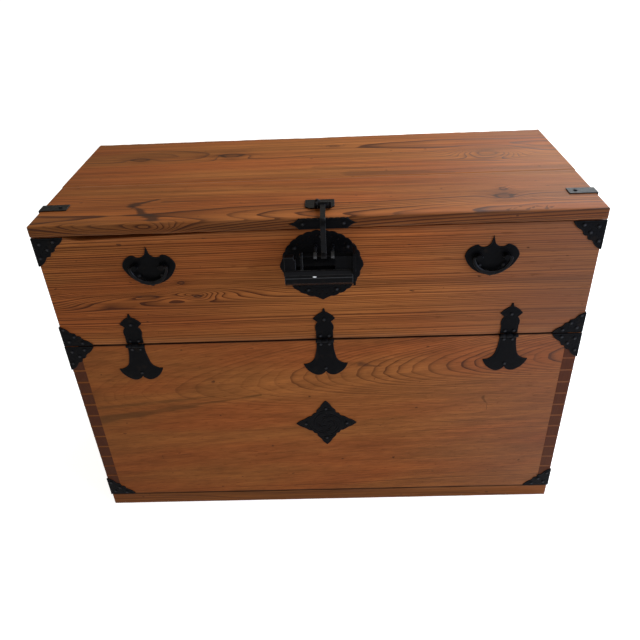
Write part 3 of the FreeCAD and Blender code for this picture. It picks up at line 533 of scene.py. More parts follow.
def board_surface(name, node, material, seed, low=None, front_ease=None, back_ease=None, sag=0.0, groove=0.0):
    """Board as a rounded rectangle carried along X. The section's corner radius is the edge's ease, which
    varies along the board by smooth noise; broad faces sink by planing noise; both ends draw in by the ease
    and close on a middle line. The upper edge sags from beside the left corner bracket and rises evenly to
    its height at a third of the length. A groove lowers the front of the upper face."""
    sizes = bpy.context.scene.chest_boards
    lowest, highest = (np.array(corner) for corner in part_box(node))
    lowest[Y] = lowest[Y] if low is None else low
    front = sizes.edge_ease if front_ease is None else front_ease
    back = sizes.edge_ease if back_ease is None else back_ease
    span = highest - lowest
    ease_end = min(front, sizes.edge_ease)
    turn_in = np.linspace(0, math.pi / 2, 5)
    inset_end = ease_end * (1 - np.sin(turn_in))
    shift_end = ease_end * (1 - np.cos(turn_in))
    even = np.linspace(ease_end, span[X] - ease_end, BOARD_ROWS + 2)[1:-1]
    along = np.concatenate([shift_end, even, span[X] - shift_end[::-1]])
    inset = np.concatenate([inset_end, np.zeros(BOARD_ROWS), inset_end[::-1]])
    steps_y = np.linspace(0, 1, BOARD_WIDE + 1)
    steps_z = np.linspace(0, 1, BOARD_HIGH + 1)
    loop_y = np.concatenate([steps_y[:-1], np.ones(BOARD_HIGH), steps_y[:0:-1], np.zeros(BOARD_HIGH)])
    loop_z = np.concatenate([np.zeros(BOARD_WIDE), steps_z[:-1], np.ones(BOARD_WIDE), steps_z[:0:-1]])
    a = np.broadcast_to(along[:, None], (len(along), len(loop_y)))
    y = inset[:, None] + loop_y[None, :] * (span[Y] - 2 * inset[:, None])
    z = inset[:, None] + loop_z[None, :] * (span[Z] - 2 * inset[:, None])
    chip = 1 + 0.45 * wave_noise(a, 0 * a, 90 * MM, seed) + 0.25 * wave_noise(a, 0 * a, 21 * MM, seed + 1)
    ease = np.where(y < span[Y] / 2, front, back) * np.clip(chip, 0.35, 1.7)
    y, z = round_corner(y, z, span, ease)
    inner_y = (y - span[Y] / 2) / (span[Y] / 2)
    inner_z = (z - span[Z] / 2) / (span[Z] / 2)
    sink = sizes.planing * (0.5 + 0.5 * wave_noise(a, y + z, 120 * MM, seed + 2))
    on_z = np.abs(inner_z) > 0.999
    on_y = np.abs(inner_y) > 0.999
    z = np.where(on_z, z - np.sign(inner_z) * sink, z)
    y = np.where(on_y & ~on_z, y - np.sign(inner_y) * sink, y)
    edge = np.hypot(np.minimum(y, span[Y] - y), np.minimum(z, span[Z] - z))
    z = z * (1 - sag / span[Z] * np.clip(1 - 3 * a / span[X], 0, 1) * step_up(a, SAG_FROM, SAG_TO))
    z = z - groove * step_up(z, span[Z] / 2, 0.8 * span[Z]) * (1 - step_up(y, GROOVE_TO, GROOVE_END))
    # Wear and painted highlight: the value falls off from every arris and pales the edges in the wood's
    # colour.
    worn = np.exp(-edge / (2.6 * MM)) * (0.55 + 0.45 * wave_noise(a, y, 60 * MM, seed + 3))
    points = np.stack([a, y, z], axis=-1) + lowest
    caps = []
    for end in (0, -1):
        ring = points[end]
        half = min(span[Y], span[Z]) / 2
        middle = np.stack([ring[:, X], np.clip(ring[:, Y], lowest[Y] + half, highest[Y] - half),
                           np.clip(ring[:, Z], lowest[Z] + half, highest[Z] - half)], axis=-1)
        caps.append([ring + (middle - ring) * share for share in CAP_SHARES])
    points = np.concatenate([np.array(caps[0][::-1]), points, np.array(caps[1])])
    pad = np.zeros((len(CAP_SHARES), worn.shape[1]))
    worn = np.clip(np.concatenate([pad, worn, pad]), 0, 1)
    faces = grid_faces(len(points), points.shape[1], True)
    merge_close(new_piece(name, points, faces[:, ::-1], body_of(node), material, (node,), worn))


def round_corner(y, z, span, ease):
    """Points of a rectangle moved so that each corner follows a circle of radius ease."""
    from_y = np.minimum(y, span[Y] - y)
    from_z = np.minimum(z, span[Z] - z)
    in_y = np.clip(ease - from_y, 0, None)
    in_z = np.clip(ease - from_z, 0, None)
    corner = (in_y > 0) & (in_z > 0)
    reach = np.hypot(in_y, in_z)
    scale = np.where(corner & (reach > ease), ease / np.maximum(reach, 1e-9), 1.0)
    new_y = np.where(corner, ease - in_y * scale, from_y)
    new_z = np.where(corner, ease - in_z * scale, from_z)
    new_y = np.where(y < span[Y] / 2, new_y, span[Y] - new_y)
    return new_y, np.where(z < span[Z] / 2, new_z, span[Z] - new_z)


def merge_close(piece):
    """Doubles merged and faces turned outwards."""
    work = bmesh.new()
    work.from_mesh(piece.data)
    bmesh.ops.remove_doubles(work, verts=work.verts, dist=0.004 * MM)
    bmesh.ops.recalc_face_normals(work, faces=work.faces)
    work.to_mesh(piece.data)
    work.free()


# Ironwork


def rim_rays(node, axis, level, centre, count):
    """Outline of a node's flat face seen from a centre: for even angles and for the outline's own corners,
    the distance at which a ray from the centre last crosses the face's boundary edges."""
    places, triangles = cad_triangles(node)
    flat = np.abs(places[:, axis] - level) < 0.005 * MM
    triangles = triangles[flat[triangles].all(axis=1)]
    edges, uses = np.unique(np.sort(triangle_edges(triangles), axis=1), axis=0, return_counts=True)
    edges = edges[uses == 1]
    plane = other_axes(axis)
    start = places[edges[:, 0]][:, plane] - centre
    stretch = places[edges[:, 1]][:, plane] - centre - start
    farthest = np.hypot(start[:, 0], start[:, 1]).max()

    def cast(angles):
        ray = np.stack([np.cos(angles), np.sin(angles)], axis=-1)[:, None, :]
        turn = ray[..., 0] * stretch[:, 1] - ray[..., 1] * stretch[:, 0]
        firm = np.abs(turn) > 1e-3 * np.hypot(stretch[:, 0], stretch[:, 1])
        turn = np.where(firm, turn, 1.0)
        reach = (start[:, 0] * stretch[:, 1] - start[:, 1] * stretch[:, 0]) / turn
        share = (start[:, 0] * ray[..., 1] - start[:, 1] * ray[..., 0]) / turn
        hit = firm & (share > -1e-3) & (share < 1.001) & (reach > 0)
        return np.where(hit, np.minimum(reach, farthest), 0).max(axis=1)

    corner_angles = np.arctan2(start[:, 1], start[:, 0])
    outer = np.hypot(start[:, 0], start[:, 1]) > 0.998 * cast(corner_angles)
    angles = np.unique(np.round(np.concatenate(
        [np.linspace(-math.pi, math.pi, count, endpoint=False), corner_angles[outer]]), 5))
    return angles, cast(angles)


def chased_plate(node, axis, side, centre, relief, count=240, rings=26, level=None, trim=None, squeeze=None,
                 rub=0.0):
    """Plate over a node's flat face, as rings drawn in from its rim: up the cut edge, over a filed bevel,
    then in even shares to the centre. The relief is a function of the place on the plate and of the distance
    from the rim, and gives the height that is taken off. Wear runs from 0 to 1 at the rims, where it gives
    both rubbed metal and a painted highlight, and to -1 in openings. A trim is the share of the rim's
    distance that is kept at each angle; a squeeze is a height and the share of the distance from it that is
    kept upwards or downwards; rub is the wear of what stands highest."""
    sizes = bpy.context.scene.chest_iron
    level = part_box(node)[0 if side < 0 else 1][axis] if level is None else level
    angles, radii = rim_rays(node, axis, level, np.array(centre), count)
    if trim is not None:
        radii = radii * trim(angles)
    ray = np.stack([np.cos(angles), np.sin(angles)], axis=-1)
    rim = ray * radii[:, None]
    bevel = np.minimum(sizes.bevel, 0.3 * radii)
    shares = np.linspace(1, 0, rings) ** 0.9
    reach = np.concatenate([radii[None], radii[None], shares[:, None] * (radii - bevel)[None]])
    flat = reach[..., None] * ray[None]
    gap = np.sqrt(((flat[2:, :, None, :] - rim[None, None]) ** 2).sum(axis=-1)).min(axis=-1)
    lowered = np.concatenate([np.full((1, len(angles)), IRON_T), np.full((1, len(angles)), sizes.bevel),
                              np.clip(relief(flat[2:, :, 0], flat[2:, :, 1], gap), 0, IRON_T * 0.92)])
    points = np.empty(reach.shape + (3,))
    points[..., other_axes(axis)] = flat + np.array(centre)
    points[..., axis] = level - side * lowered
    if squeeze is not None:
        points[..., Z] = squeeze[0] + (points[..., Z] - squeeze[0]) * squeeze[1]
    # Painted highlight: the rims get a high wear value, so the pale tint runs round every rim, partly as
    # rubbed metal, partly as highlight.
    edge = np.concatenate([np.full((2, len(angles)), 0.9), np.exp(-gap / (0.7 * MM))])
    worn = np.maximum(edge, rub) * (1 - step_up(lowered, 0.1 * MM, 0.6 * MM) * 0.8)
    pierced = np.zeros(lowered.shape)
    pierced[2:] = step_up(lowered[2:], 0.8 * sizes.pierce, 0.98 * sizes.pierce)
    worn = np.where(pierced > 0, -pierced, worn)
    faces = grid_faces(len(points), len(angles), True)
    return points.reshape(-1, 3), faces, worn.reshape(-1)


def pits(a, b, places, radius, depth):
    """Round punch marks of one radius at places on a plate."""
    total = np.zeros(a.shape)
    for x, z in places:
        total = np.maximum(total, depth * (1 - step_up(np.hypot(a - x, b - z), 0.55 * radius, radius)))
    return total


def line_at(gap, place, width, depth):
    """Chased line at one distance from the rim."""
    return depth * np.exp(-((gap - place) / width) ** 2)


def ring_of(count, radius, start=0.0):
    """Even places round a circle."""
    return [(radius * math.cos(start + TURN * k / count), radius * math.sin(start + TURN * k / count))
            for k in range(count)]


def lock_relief(a, b, gap):
    """Rings of punched holes inside the rim, a chased circle round the plain middle, and hammer marks."""
    sizes = bpy.context.scene.chest_iron
    out = np.hypot(a, b)
    holes = pits(a, b, ring_of(28, 53.5 * MM, 0.11), 1.5 * MM, sizes.pierce)
    small = pits(a, b, ring_of(28, 47.5 * MM), 1.0 * MM, sizes.pierce)
    circle = sizes.groove * np.exp(-((out - 42 * MM) / (0.9 * MM)) ** 2)
    return holes + small + circle + 0.10 * MM * (1 + wave_noise(a, b, 16 * MM, 3))


def turned_from(angles, place):
    """Angle between each direction and one place on the rim, without a sign."""
    return np.arccos(np.clip(np.cos(angles - place), -1, 1))


def lock_trim(angles):
    """Pointed lobes at the left, the right and the foot of the lock plate."""
    lobe = np.zeros(angles.shape)
    for place in (0, -math.pi / 2, math.pi):
        lobe = np.maximum(lobe, 1 - turned_from(angles, place) / math.radians(7))
    return 1 + 0.06 * np.clip(lobe, 0, 1)


def diamond_relief(a, b, gap):
    """Chased scrolls that turn outwards from a round boss, a line along the rim, and small pierced dots."""
    sizes = bpy.context.scene.chest_iron
    out = np.hypot(a, b)
    scrolls = np.cos(4 * np.arctan2(b, a) + TURN * out / (7.5 * MM)) * np.cos(TURN * out / (13 * MM))
    field = step_up(out, 4 * MM, 6 * MM) * step_up(gap, 4 * MM, 5.5 * MM)
    dots = pits(a, b, ring_of(8, 15 * MM, math.pi / 8) + ring_of(4, 24 * MM), 1.3 * MM, sizes.pierce)
    line = line_at(gap, 3.0 * MM, 0.8 * MM, sizes.groove)
    return np.maximum(2.2 * sizes.groove * step_up(scrolls, 0.1, 0.5) * field, dots) + line


def diamond_trim(angles):
    """Sides drawn in between the four tips, with small cusps."""
    side = np.sin(2 * angles) ** 2
    return 1 - 0.075 * side - 0.022 * side * np.cos(20 * angles)


def band_trim(angles):
    """Small notches along the upper edge of the band, one every 9 mm."""
    low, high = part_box("band_plate")
    upward = np.maximum(np.sin(angles), 1e-3)
    along = (high.z - low.z) / 2 * np.cos(angles) / upward
    inside = (np.sin(angles) > 0) & (np.abs(along) < 0.42 * (high.x - low.x))
    return 1 - 0.16 * inside * step_up(np.cos(TURN * along / (9 * MM)), 0.55, 0.9)


def bracket_trim(inward):
    """Slanting side of a bracket drawn in to shallow scallops; the sides along the board's edges stay."""
    def share(angles):
        off = turned_from(angles, inward)
        on_slant = 1 - step_up(off, math.radians(38), math.radians(64))
        return 1 - on_slant * (0.12 + 0.045 * np.cos(11 * off))
    return share


def rim_relief(a, b, gap):
    """Chased line along the rim and faint hammer marks."""
    line = line_at(gap, 2.6 * MM, 0.7 * MM, bpy.context.scene.chest_iron.groove)
    return line + 0.09 * MM * (1 + wave_noise(a, b, 14 * MM, 7))


def bracket_relief(a, b, gap):
    """Shallow punched dots at even spacing, a chased line along the rim, and hammer marks."""
    sizes = bpy.context.scene.chest_iron
    cells = np.cos(a * TURN / (9 * MM)) * np.cos(b * TURN / (9 * MM))
    holes = 0.45 * sizes.pierce * step_up(cells, 0.72, 0.92) * step_up(gap, 4.0 * MM, 5.5 * MM)
    line = line_at(gap, 2.6 * MM, 0.7 * MM, sizes.groove)
    return holes + line + 0.08 * MM * (1 + wave_noise(a, b, 12 * MM, 11))


def block_surface(low, high, ease):
    """Block with eased edges: rounded rectangles carried along X, drawn in at both ends by a quarter turn."""
    low, high = np.array(low), np.array(high)
    middle, half = (low + high) / 2, (high - low) / 2 - ease
    quarter = np.linspace(0, math.pi / 2, 5)
    on_arc = [0, 1, 1, 1, 0]
    round_x = (half[X] + ease * np.cos(quarter))[::-1]
    x = np.concatenate([[-round_x[-1]], -round_x[::-1], round_x, [round_x[-1]]])
    lip = ease * np.concatenate([[0], np.sin(quarter), np.sin(quarter)[::-1], [0]])
    kept = np.concatenate([[0], np.ones(2 * len(quarter)), [0]])
    angle = np.concatenate([k * math.pi / 2 + quarter for k in range(4)])
    out_y = np.repeat([1, -1, -1, 1], len(quarter))
    out_z = np.repeat([1, 1, -1, -1], len(quarter))
    y = kept[:, None] * (half[Y] * out_y + lip[:, None] * np.cos(angle))
    z = kept[:, None] * (half[Z] * out_z + lip[:, None] * np.sin(angle))
    points = np.stack([np.broadcast_to(x[:, None], y.shape), y, z], axis=-1) + middle
    on_end = np.array([0, *on_arc, *on_arc, 0])
    # Painted highlight: the eased arcs get a high wear value and take the pale tint along the block's edges.
    worn = 0.9 * np.maximum(np.tile(on_arc, 4)[None], on_end[:, None]) * kept[:, None]
    return points.reshape(-1, 3), grid_faces(len(x), len(angle), True)[:, ::-1], worn.reshape(-1)


def knuckle_surface(x0, x1, y, z, radius):
    """Rolled knuckle: a circle carried along X, its ends eased and closed, and a lap line along its back."""
    ease = 0.18 * radius
    along = np.array([x0, x0, x0 + ease, x1 - ease, x1, x1])
    share = np.array([0.0, 0.86, 1.0, 1.0, 0.86, 0.0])[:, None]
    turn = np.linspace(0, TURN, 24, endpoint=False)
    grid = (len(along), len(turn))
    ring = radius * (1 - 0.06 * np.exp(-((turn - 2.2) / 0.14) ** 2))
    points = np.stack([np.broadcast_to(along[:, None], grid),
                       y + share * ring * np.cos(turn), z + share * ring * np.sin(turn)], axis=-1)
    worn = np.where(share > 0.9, 0.35, 0.1) * np.ones(grid)
    return points.reshape(-1, 3), grid_faces(*grid, True), worn.reshape(-1)


def joined(surfaces):
    """Several surfaces as one set of arrays."""
    starts = np.cumsum([0] + [len(points) for points, _, _ in surfaces[:-1]])
    return (np.concatenate([s[0] for s in surfaces]),
            np.concatenate([s[1] + start for s, start in zip(surfaces, starts)]),
            np.concatenate([s[2] for s in surfaces]))


def iron_piece(name, surfaces, node, iron):
    """Ironwork piece that stands for one node."""
    points, faces, worn = joined(surfaces)
    worn = np.clip(worn, -1, 1)
    merge_close(new_piece(name, points, faces, body_of(node), iron, (node,), worn))


def middle_of(node, axes=(X, Z)):
    """Middle of a node's box in two directions."""
    low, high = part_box(node)
    return [(low[i] + high[i]) / 2 for i in axes]


def nail_places(node):
    """Head centres, outward directions, radii and heights of a group of nails. Solids are told apart by
    carrying the least vertex number along edges until nothing changes; a nail's longest extent is its axis,
    and its head is the wide end."""
    places, triangles = cad_triangles(node)
    label = np.arange(len(places))
    pairs = triangle_edges(triangles)
    changed = True
    while changed:
        least = np.minimum(label[pairs[:, 0]], label[pairs[:, 1]])
        before = label.copy()
        np.minimum.at(label, pairs[:, 0], least)
        np.minimum.at(label, pairs[:, 1], least)
        changed = bool((before != label).any())
    found = []
    for number in np.unique(label):
        nail = places[label == number]
        low, high = nail.min(axis=0), nail.max(axis=0)
        axis = int(np.argmax(high - low))
        centre = (low + high) / 2
        out = np.delete(nail - centre, axis, axis=1)
        away = np.hypot(out[:, 0], out[:, 1])
        base = nail[away > 0.9 * away.max()][:, axis].mean()
        side = 1 if base > centre[axis] else -1
        centre[axis] = base
        rise = abs((high if side > 0 else low)[axis] - base)
        found.append((centre, axis, side, away.max(), rise))
    return found


def nail_head(centre, axis, side, radius, rise, seed):
    """Hammered dome: radius times a rounded-square factor round the axis, falling to the top by a cosine."""
    facet = bpy.context.scene.chest_iron.nail_facet
    draw = np.random.default_rng(seed)
    turn = np.linspace(0, TURN, 16, endpoint=False)
    fall = np.array([0.0, 0.35, 0.62, 0.84, 0.97, 1.0])
    square = 1 - facet * (1 + np.cos(4 * (turn + draw.uniform(0, TURN)))) / 2
    out = radius * square[None] * np.sqrt(1 - fall[:, None] ** 2 + 1e-9)
    lift = rise * fall[:, None] * (1 + 0.06 * np.cos(2 * turn + draw.uniform(0, TURN)))[None]
    lift[-1] = rise
    points = np.empty((*lift.shape, 3))
    plane = other_axes(axis)
    points[..., plane[0]] = out * np.cos(turn)
    points[..., plane[1]] = out * np.sin(turn)
    points[..., axis] = side * np.minimum(lift, rise)
    # Painted highlight: the tops of the heads get a high wear value and take the pale tint, partly rubbed
    # metal, partly highlight.
    worn = np.broadcast_to(fall[:, None] * 0.88, lift.shape)
    return (points + centre).reshape(-1, 3), grid_faces(*lift.shape, True), worn.reshape(-1)


def squared(wave):
    """Sine or cosine of an oval that is a little squarer than an ellipse."""
    return np.sign(wave) * np.abs(wave) ** 0.8


PIN_STEPS, ARC_STEPS = 12, 72


def bail_surface(node):
    """Bail: an oval carried along a path of pin, arc and pin. The arc passes through both ends and the lowest
    point of the node; the oval's half width in the arc's plane swells towards the middle of the arc."""
    sizes = bpy.context.scene.chest_iron
    low, high = (np.array(corner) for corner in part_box(node))
    bar = (high[Y] - low[Y]) / 2
    mid_x = (low[X] + high[X]) / 2
    pivot_z = high[Z] - bar
    arm = (high[X] - low[X]) / 2 - bar
    drop = pivot_z - (low[Z] + bar)
    radius = (arm ** 2 + drop ** 2) / (2 * drop)
    centre_z = pivot_z - drop + radius
    half_turn = math.atan2(arm, centre_z - pivot_z)
    swing = np.linspace(-half_turn, half_turn, ARC_STEPS + 1)
    arc = np.stack([mid_x + radius * np.sin(swing), centre_z - radius * np.cos(swing)], axis=-1)
    pin = np.linspace(0, 1, PIN_STEPS, endpoint=False)[:, None]
    inner = np.array([mid_x - arm + 5.2 * bar, pivot_z])
    left = inner + (arc[0] - inner) * pin
    right = np.stack([2 * mid_x - left[:, 0], left[:, 1]], axis=-1)[::-1]
    path = np.concatenate([left, arc, right])
    for _ in range(6):
        path[1:-1] = (path[:-2] + 2 * path[1:-1] + path[2:]) / 4
    ahead = np.gradient(path, axis=0)
    ahead /= np.linalg.norm(ahead, axis=1)[:, None]
    normal = np.stack([-ahead[:, 1], ahead[:, 0]], axis=-1)
    step = np.arange(len(path))
    from_end = np.minimum(step, step[::-1])
    swell = np.sin(math.pi * np.clip((step - PIN_STEPS) / ARC_STEPS, 0, 1)) ** 2
    slim = bar * 0.86
    wide = slim + (sizes.bail_swell - slim) * swell
    thick = np.minimum(bar, bar * (0.82 + 0.18 * swell))
    for reach, half in ((9, bar * 0.64), (1, 0.0)):
        wide = np.where(from_end < reach, half, wide)
        thick = np.where(from_end < reach, half, thick)
    turn = np.linspace(0, TURN, 20, endpoint=False)
    across = wide[:, None] * squared(np.cos(turn)) + ((wide - slim) * 0.35)[:, None]
    x = path[:, :1] + normal[:, :1] * across
    y = (low[Y] + high[Y]) / 2 + thick[:, None] * squared(np.sin(turn))
    z = np.maximum(path[:, 1:] + normal[:, 1:] * across, low[Z])
    points = np.stack([x, y, z], axis=-1)
    # Painted highlight: a narrow line of high wear along the front upper side of the bail takes the pale
    # tint, as a thin highlight.
    worn = 0.1 + 0.85 * np.exp(-((turn - 1.75 * math.pi) / 0.32) ** 2) * np.ones(x.shape)
    return points.reshape(-1, 3), grid_faces(*x.shape, True), worn.reshape(-1)


# Knots and marks of the boards. A knot has its place on the face, its radius, how far it pushes the rings
# out, how dark it is and its length against its width. A mark has its two ends, its width, its tint and the
# tint's share.

STAIN = (0.046, 0.019, 0.0095)
BROWN = (0.12, 0.042, 0.012)
OLIVE = (0.075, 0.033, 0.0085)

TOP_FRONT_KNOTS = (
    (0.309, -0.109, 0.012, 0.010, 0.7, 1.1),
    (0.306, -0.142, 0.016, 0.012, 0.8, 1.5))
TOP_REAR_KNOTS = (
    (-0.342, 0.093, 0.013, 0.010, 0.7, 2),
    (-0.168, 0.098, 0.015, 0.012, 0.85, 2),
    (0.320, 0.068, 0.022, 0.034, 0.3, 2),
    (0.032, 0.135, 0.008, 0.008, 0.5, 2))
FLAP_KNOTS = (
    (-0.222, 0.530, 0.005, 0.006, 0.7, 2),
    (-0.200, 0.503, 0.006, 0.008, 0.8, 3),
    (-0.225, 0.513, 0.010, 0.016, 0.0, 4),
    (-0.160, 0.514, 0.014, 0.018, 0.0, 5),
    (-0.340, 0.503, 0.012, 0.018, 0.0, 6),
    (-0.285, 0.503, 0.006, 0.008, 0.6, 5))
TOP_FRONT_MARKS = (
    ((-0.300, -0.131), (-0.262, -0.105), 0.011, STAIN, 0.85),
    ((-0.252, -0.188), (-0.300, -0.131), 0.015, STAIN, 0.85),
    ((-0.250, -0.118), (-0.150, -0.121), 0.005, STAIN, 0.5),
    *(((0.300 + 0.009 * k, -0.196 + 0.006 * (k % 3)), (0.308 + 0.009 * k, -0.181 - 0.005 * (k % 2)),
       0.0035, STAIN, 0.6) for k in range(8)),
    ((0.255, -0.199), (0.330, -0.202), 0.008, STAIN, 0.4))
TOP_REAR_MARKS = (
    ((0.060, -0.016), (0.240, -0.028), 0.020, BROWN, 0.5),
    ((0.000, 0.020), (0.120, 0.005), 0.012, BROWN, 0.35))
PANEL_MARKS = (
    ((-0.425, 0.234), (-0.115, 0.288), 0.013, OLIVE, 0.55),
    ((-0.425, 0.262), (-0.200, 0.287), 0.007, OLIVE, 0.4),
    ((0.075, 0.352), (0.110, 0.345), 0.006, STAIN, 0.6),
    ((0.300, 0.270), (0.301, 0.235), 0.004, STAIN, 0.5))


def on_plane(axis, level, place):
    """Place on the plane that crosses an axis at a level."""
    return (*place[:axis], level, *place[axis:])


def knots_on(axis, level, rows):
    """Knots of one face."""
    return [(on_plane(axis, level, row[:2]), *row[2:]) for row in rows]


def marks_on(axis, level, rows):
    """Marks of one face."""
    return [(on_plane(axis, level, start), on_plane(axis, level, end), *row) for start, end, *row in rows]


# Operators


class CHEST_OT_boards(bpy.types.Operator):
    """Worn boards for the top, the flap and the base, and grain on every board"""

    bl_idname = "chest.boards"
    bl_label = "Boards"

    def execute(self, context):
        sizes = context.scene.chest_boards
        self.top(sizes)
        self.front(sizes)
        base = wood_material("base_wood", (-0.05, -0.06), 5.0, 0.010, shade=0.66, seams=(BASE_SEAM_Z,))
        board_surface("base_board", "bottom_board", base, 41, front_ease=1.2 * MM, groove=2.2 * MM)
        side = wood_material("side_wood", (0.52, 0.30), 6.0, 0.009, turn=math.radians(-90), lean=(2.0, 0.0),
                             shade=0.9, end_at=FRONT_Y)
        for name in SIDES:
            dress("side_board_" + name, side, 0.8 * MM)
        back = wood_material("back_wood", (0.10, 0.33), 7.0, 0.02, shade=0.85)
        for name in ("lower", "upper"):
            dress("back_board_" + name, back)
        return {"FINISHED"}

    def top(self, sizes):
        """Front and rear boards of the top, with knots on the front one's edge too."""
        low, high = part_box("top_board_front")
        edge_knots = knots_on(Y, low.y, [(x, middle_of("top_board_front")[1], *knot) for x, *knot in (
            (-0.320, 0.014, 0.020, 0.0, 5), (-0.255, 0.010, 0.016, 0.1, 3))])
        front = wood_material(
            "top_front_wood", (-0.19, 0.585), 1.0, 0.008, lean=(1.6, 1.0), grain=1.2, step=0.8,
            fade=(1.0, 1.7), dark=0.82, grey=0.1, edge_at=low.y,
            knots=knots_on(Z, high.z, TOP_FRONT_KNOTS) + edge_knots,
            marks=marks_on(Z, high.z, TOP_FRONT_MARKS))
        rear = wood_material(
            "top_rear_wood", (0.11, 0.575), 2.0, 0.010, grain=1.1, step=0.8, fade=(0.9, 1.7), dark=0.82,
            grey=0.1, knots=knots_on(Z, high.z, TOP_REAR_KNOTS), marks=marks_on(Z, high.z, TOP_REAR_MARKS))
        joint = sizes.joint_ease
        board_surface("top_front_board", "top_board_front", front, 11, back_ease=joint)
        board_surface("top_rear_board", "top_board_rear", rear, 21, low=high.y, front_ease=joint)

    def front(self, sizes):
        """Flap and lower front."""
        flap = wood_material(
            "flap_wood", (-0.10, 0.75), 3.0, 0.004, shade=1.1, grain=1.7, step=0.62, fade=(1.5, 0.9),
            dark=0.98, grey=0.5, wander=0.0018, seams=(SEAM_Z,), knots=knots_on(Y, FRONT_Y, FLAP_KNOTS))
        board_surface("flap_front_board", "flap_board", flap, 31, front_ease=1.8 * MM,
                      back_ease=sizes.joint_ease, sag=9 * MM)
        panel = wood_material(
            "panel_wood", (-0.105, 0.33), 4.5, 0.0055, lean=(4.0, 5.5), grain=1.25, step=0.5, streaks=0.8,
            fade=(0.2, 1.3), dark=0.78, grey=0.35, marks=marks_on(Y, FRONT_Y, PANEL_MARKS),
            tongue_at=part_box("side_board_right")[0].x, seams=(BASE_SEAM_Z, SEAM_Z))
        dress("lower_panel", panel)


class CHEST_OT_plates(bpy.types.Operator):
    """Chased plates of the lock, the handles, the lower front and the corners"""

    bl_idname = "chest.plates"
    bl_label = "Plates"

    def execute(self, context):
        iron = iron_material("forged_iron", 0.035, 0.45)
        handled = iron_material("handled_iron", 0.075, 0.36, 0.2)
        arris = iron_material("rubbed_arris", 0.5, 0.30, 1.0)
        front = (Y, -1)
        lock = chased_plate("lock_plate", *front, middle_of("lock_plate"), lock_relief, 520, 90,
                            trim=lock_trim, rub=0.1)
        iron_piece("lock_disc", [lock], "lock_plate", iron)
        diamond = chased_plate("diamond_plate", *front, middle_of("diamond_plate"), diamond_relief, 300, 60,
                               trim=diamond_trim, rub=0.2)
        iron_piece("diamond", [diamond], "diamond_plate", iron)
        band = chased_plate("band_plate", *front, middle_of("band_plate"), rim_relief, 1100, 16,
                            trim=band_trim)
        iron_piece("band", [band], "band_plate", iron)
        for name in SIDES:
            pivot = next(j for j in frame["joints"] if j["name"] == name + "_bail_swing")["pos_m"]
            plate = chased_plate("handle_plate_" + name, *front, (pivot[X], pivot[Z]), rim_relief, 320, 34)
            iron_piece("handle_shield_" + name, [plate], "handle_plate_" + name, iron)
            self.brackets(name, iron)
        dress("hasp_pin", handled)
        for node in ("hasp_plate", "hasp_bar"):
            dress(node, handled, 0.5 * MM, arris)
        self.padlock(iron, arris)
        for name in SIDES:
            dress("lock_staple_" + name, arris, 0.4 * MM)
            dress("handle_posts_" + name, iron, 0.4 * MM, arris)
            dress("top_strap_" + name, handled, 0.5 * MM, arris)
        dress("padlock_springs", spring_material())
        return {"FINISHED"}

    def padlock(self, iron, arris):
        """Case whose upper slope is painted paler as if lit from above, with a painted highlight line and a
        painted glint on its front, and the block that fills the room between its left end and the post for
        the rod's tip."""
        low, high = (np.array(corner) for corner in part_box("padlock_case"))
        whole, deep = 10.0, 20 * MM
        # Painted light: the paler upper slope, the highlight line along the front and the glint are painted
        # into the case's colour.
        slope = ((0, low[Y], 0.5665), (whole, deep, 3 * MM), (0.020, 0.020, 0.021), 0.8)
        line = ((0, low[Y], 0.5590), (whole, deep, 0.8 * MM), (0.055, 0.055, 0.055), 0.8)
        glint = ((-0.003, low[Y], 0.5613), (3.8 * MM, deep, 1.5 * MM), (0.75, 0.75, 0.72), 1.0)
        case = iron_material("case_iron", 0.045, 0.36, spots=(slope, line, glint))
        dress("padlock_case", case, 0.5 * MM, arris)
        dress("padlock_bolt", iron, 0.5 * MM, arris)
        rod_y = (low[Y] + high[Y]) / 2
        near, far = rod_y - 6 * MM, rod_y + 6 * MM
        foot_z, top_z = low[Z] + 25.8 * MM, high[Z] - 6 * MM
        ease = 0.6 * MM
        tall = block_surface((low[X], near, foot_z), (-34.5 * MM, far, top_z), ease)
        short = block_surface((-35.5 * MM, near, foot_z), (-31.8 * MM, far, top_z - 4 * MM), ease)
        points, faces, worn = joined([tall, short])
        new_piece("case_block", points, faces, body_of("padlock_case"), iron, worn=worn,
                  smooth=False)

    def brackets(self, name, iron):
        """Corner brackets of one end, each a plate on the front and one round the end."""
        sign = -1 if name == "left" else 1
        for node, up, height in (("flap_corner_", -1, 1.0), ("seam_bracket_flap_", 1, 0.80),
                                 ("seam_bracket_panel_", -1, 1.0), ("foot_bracket_", 1, 0.92)):
            low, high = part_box(node + name)
            corner = high if sign > 0 else low
            z = low.z if up > 0 else high.z
            inner = (corner.x - sign * 14 * MM, z + up * 14 * MM)
            inward = bracket_trim(math.atan2(up, -sign))
            front = chased_plate(node + name, Y, -1, inner, bracket_relief, 260, 34, trim=inward,
                                 squeeze=(z, height), rub=0.18)
            around = chased_plate(node + name, X, sign, (low.y + 11 * MM, inner[1]), rim_relief, 160, 20,
                                  squeeze=(z, height))
            iron_piece("chased_" + node + name, [front, around], node + name, iron)


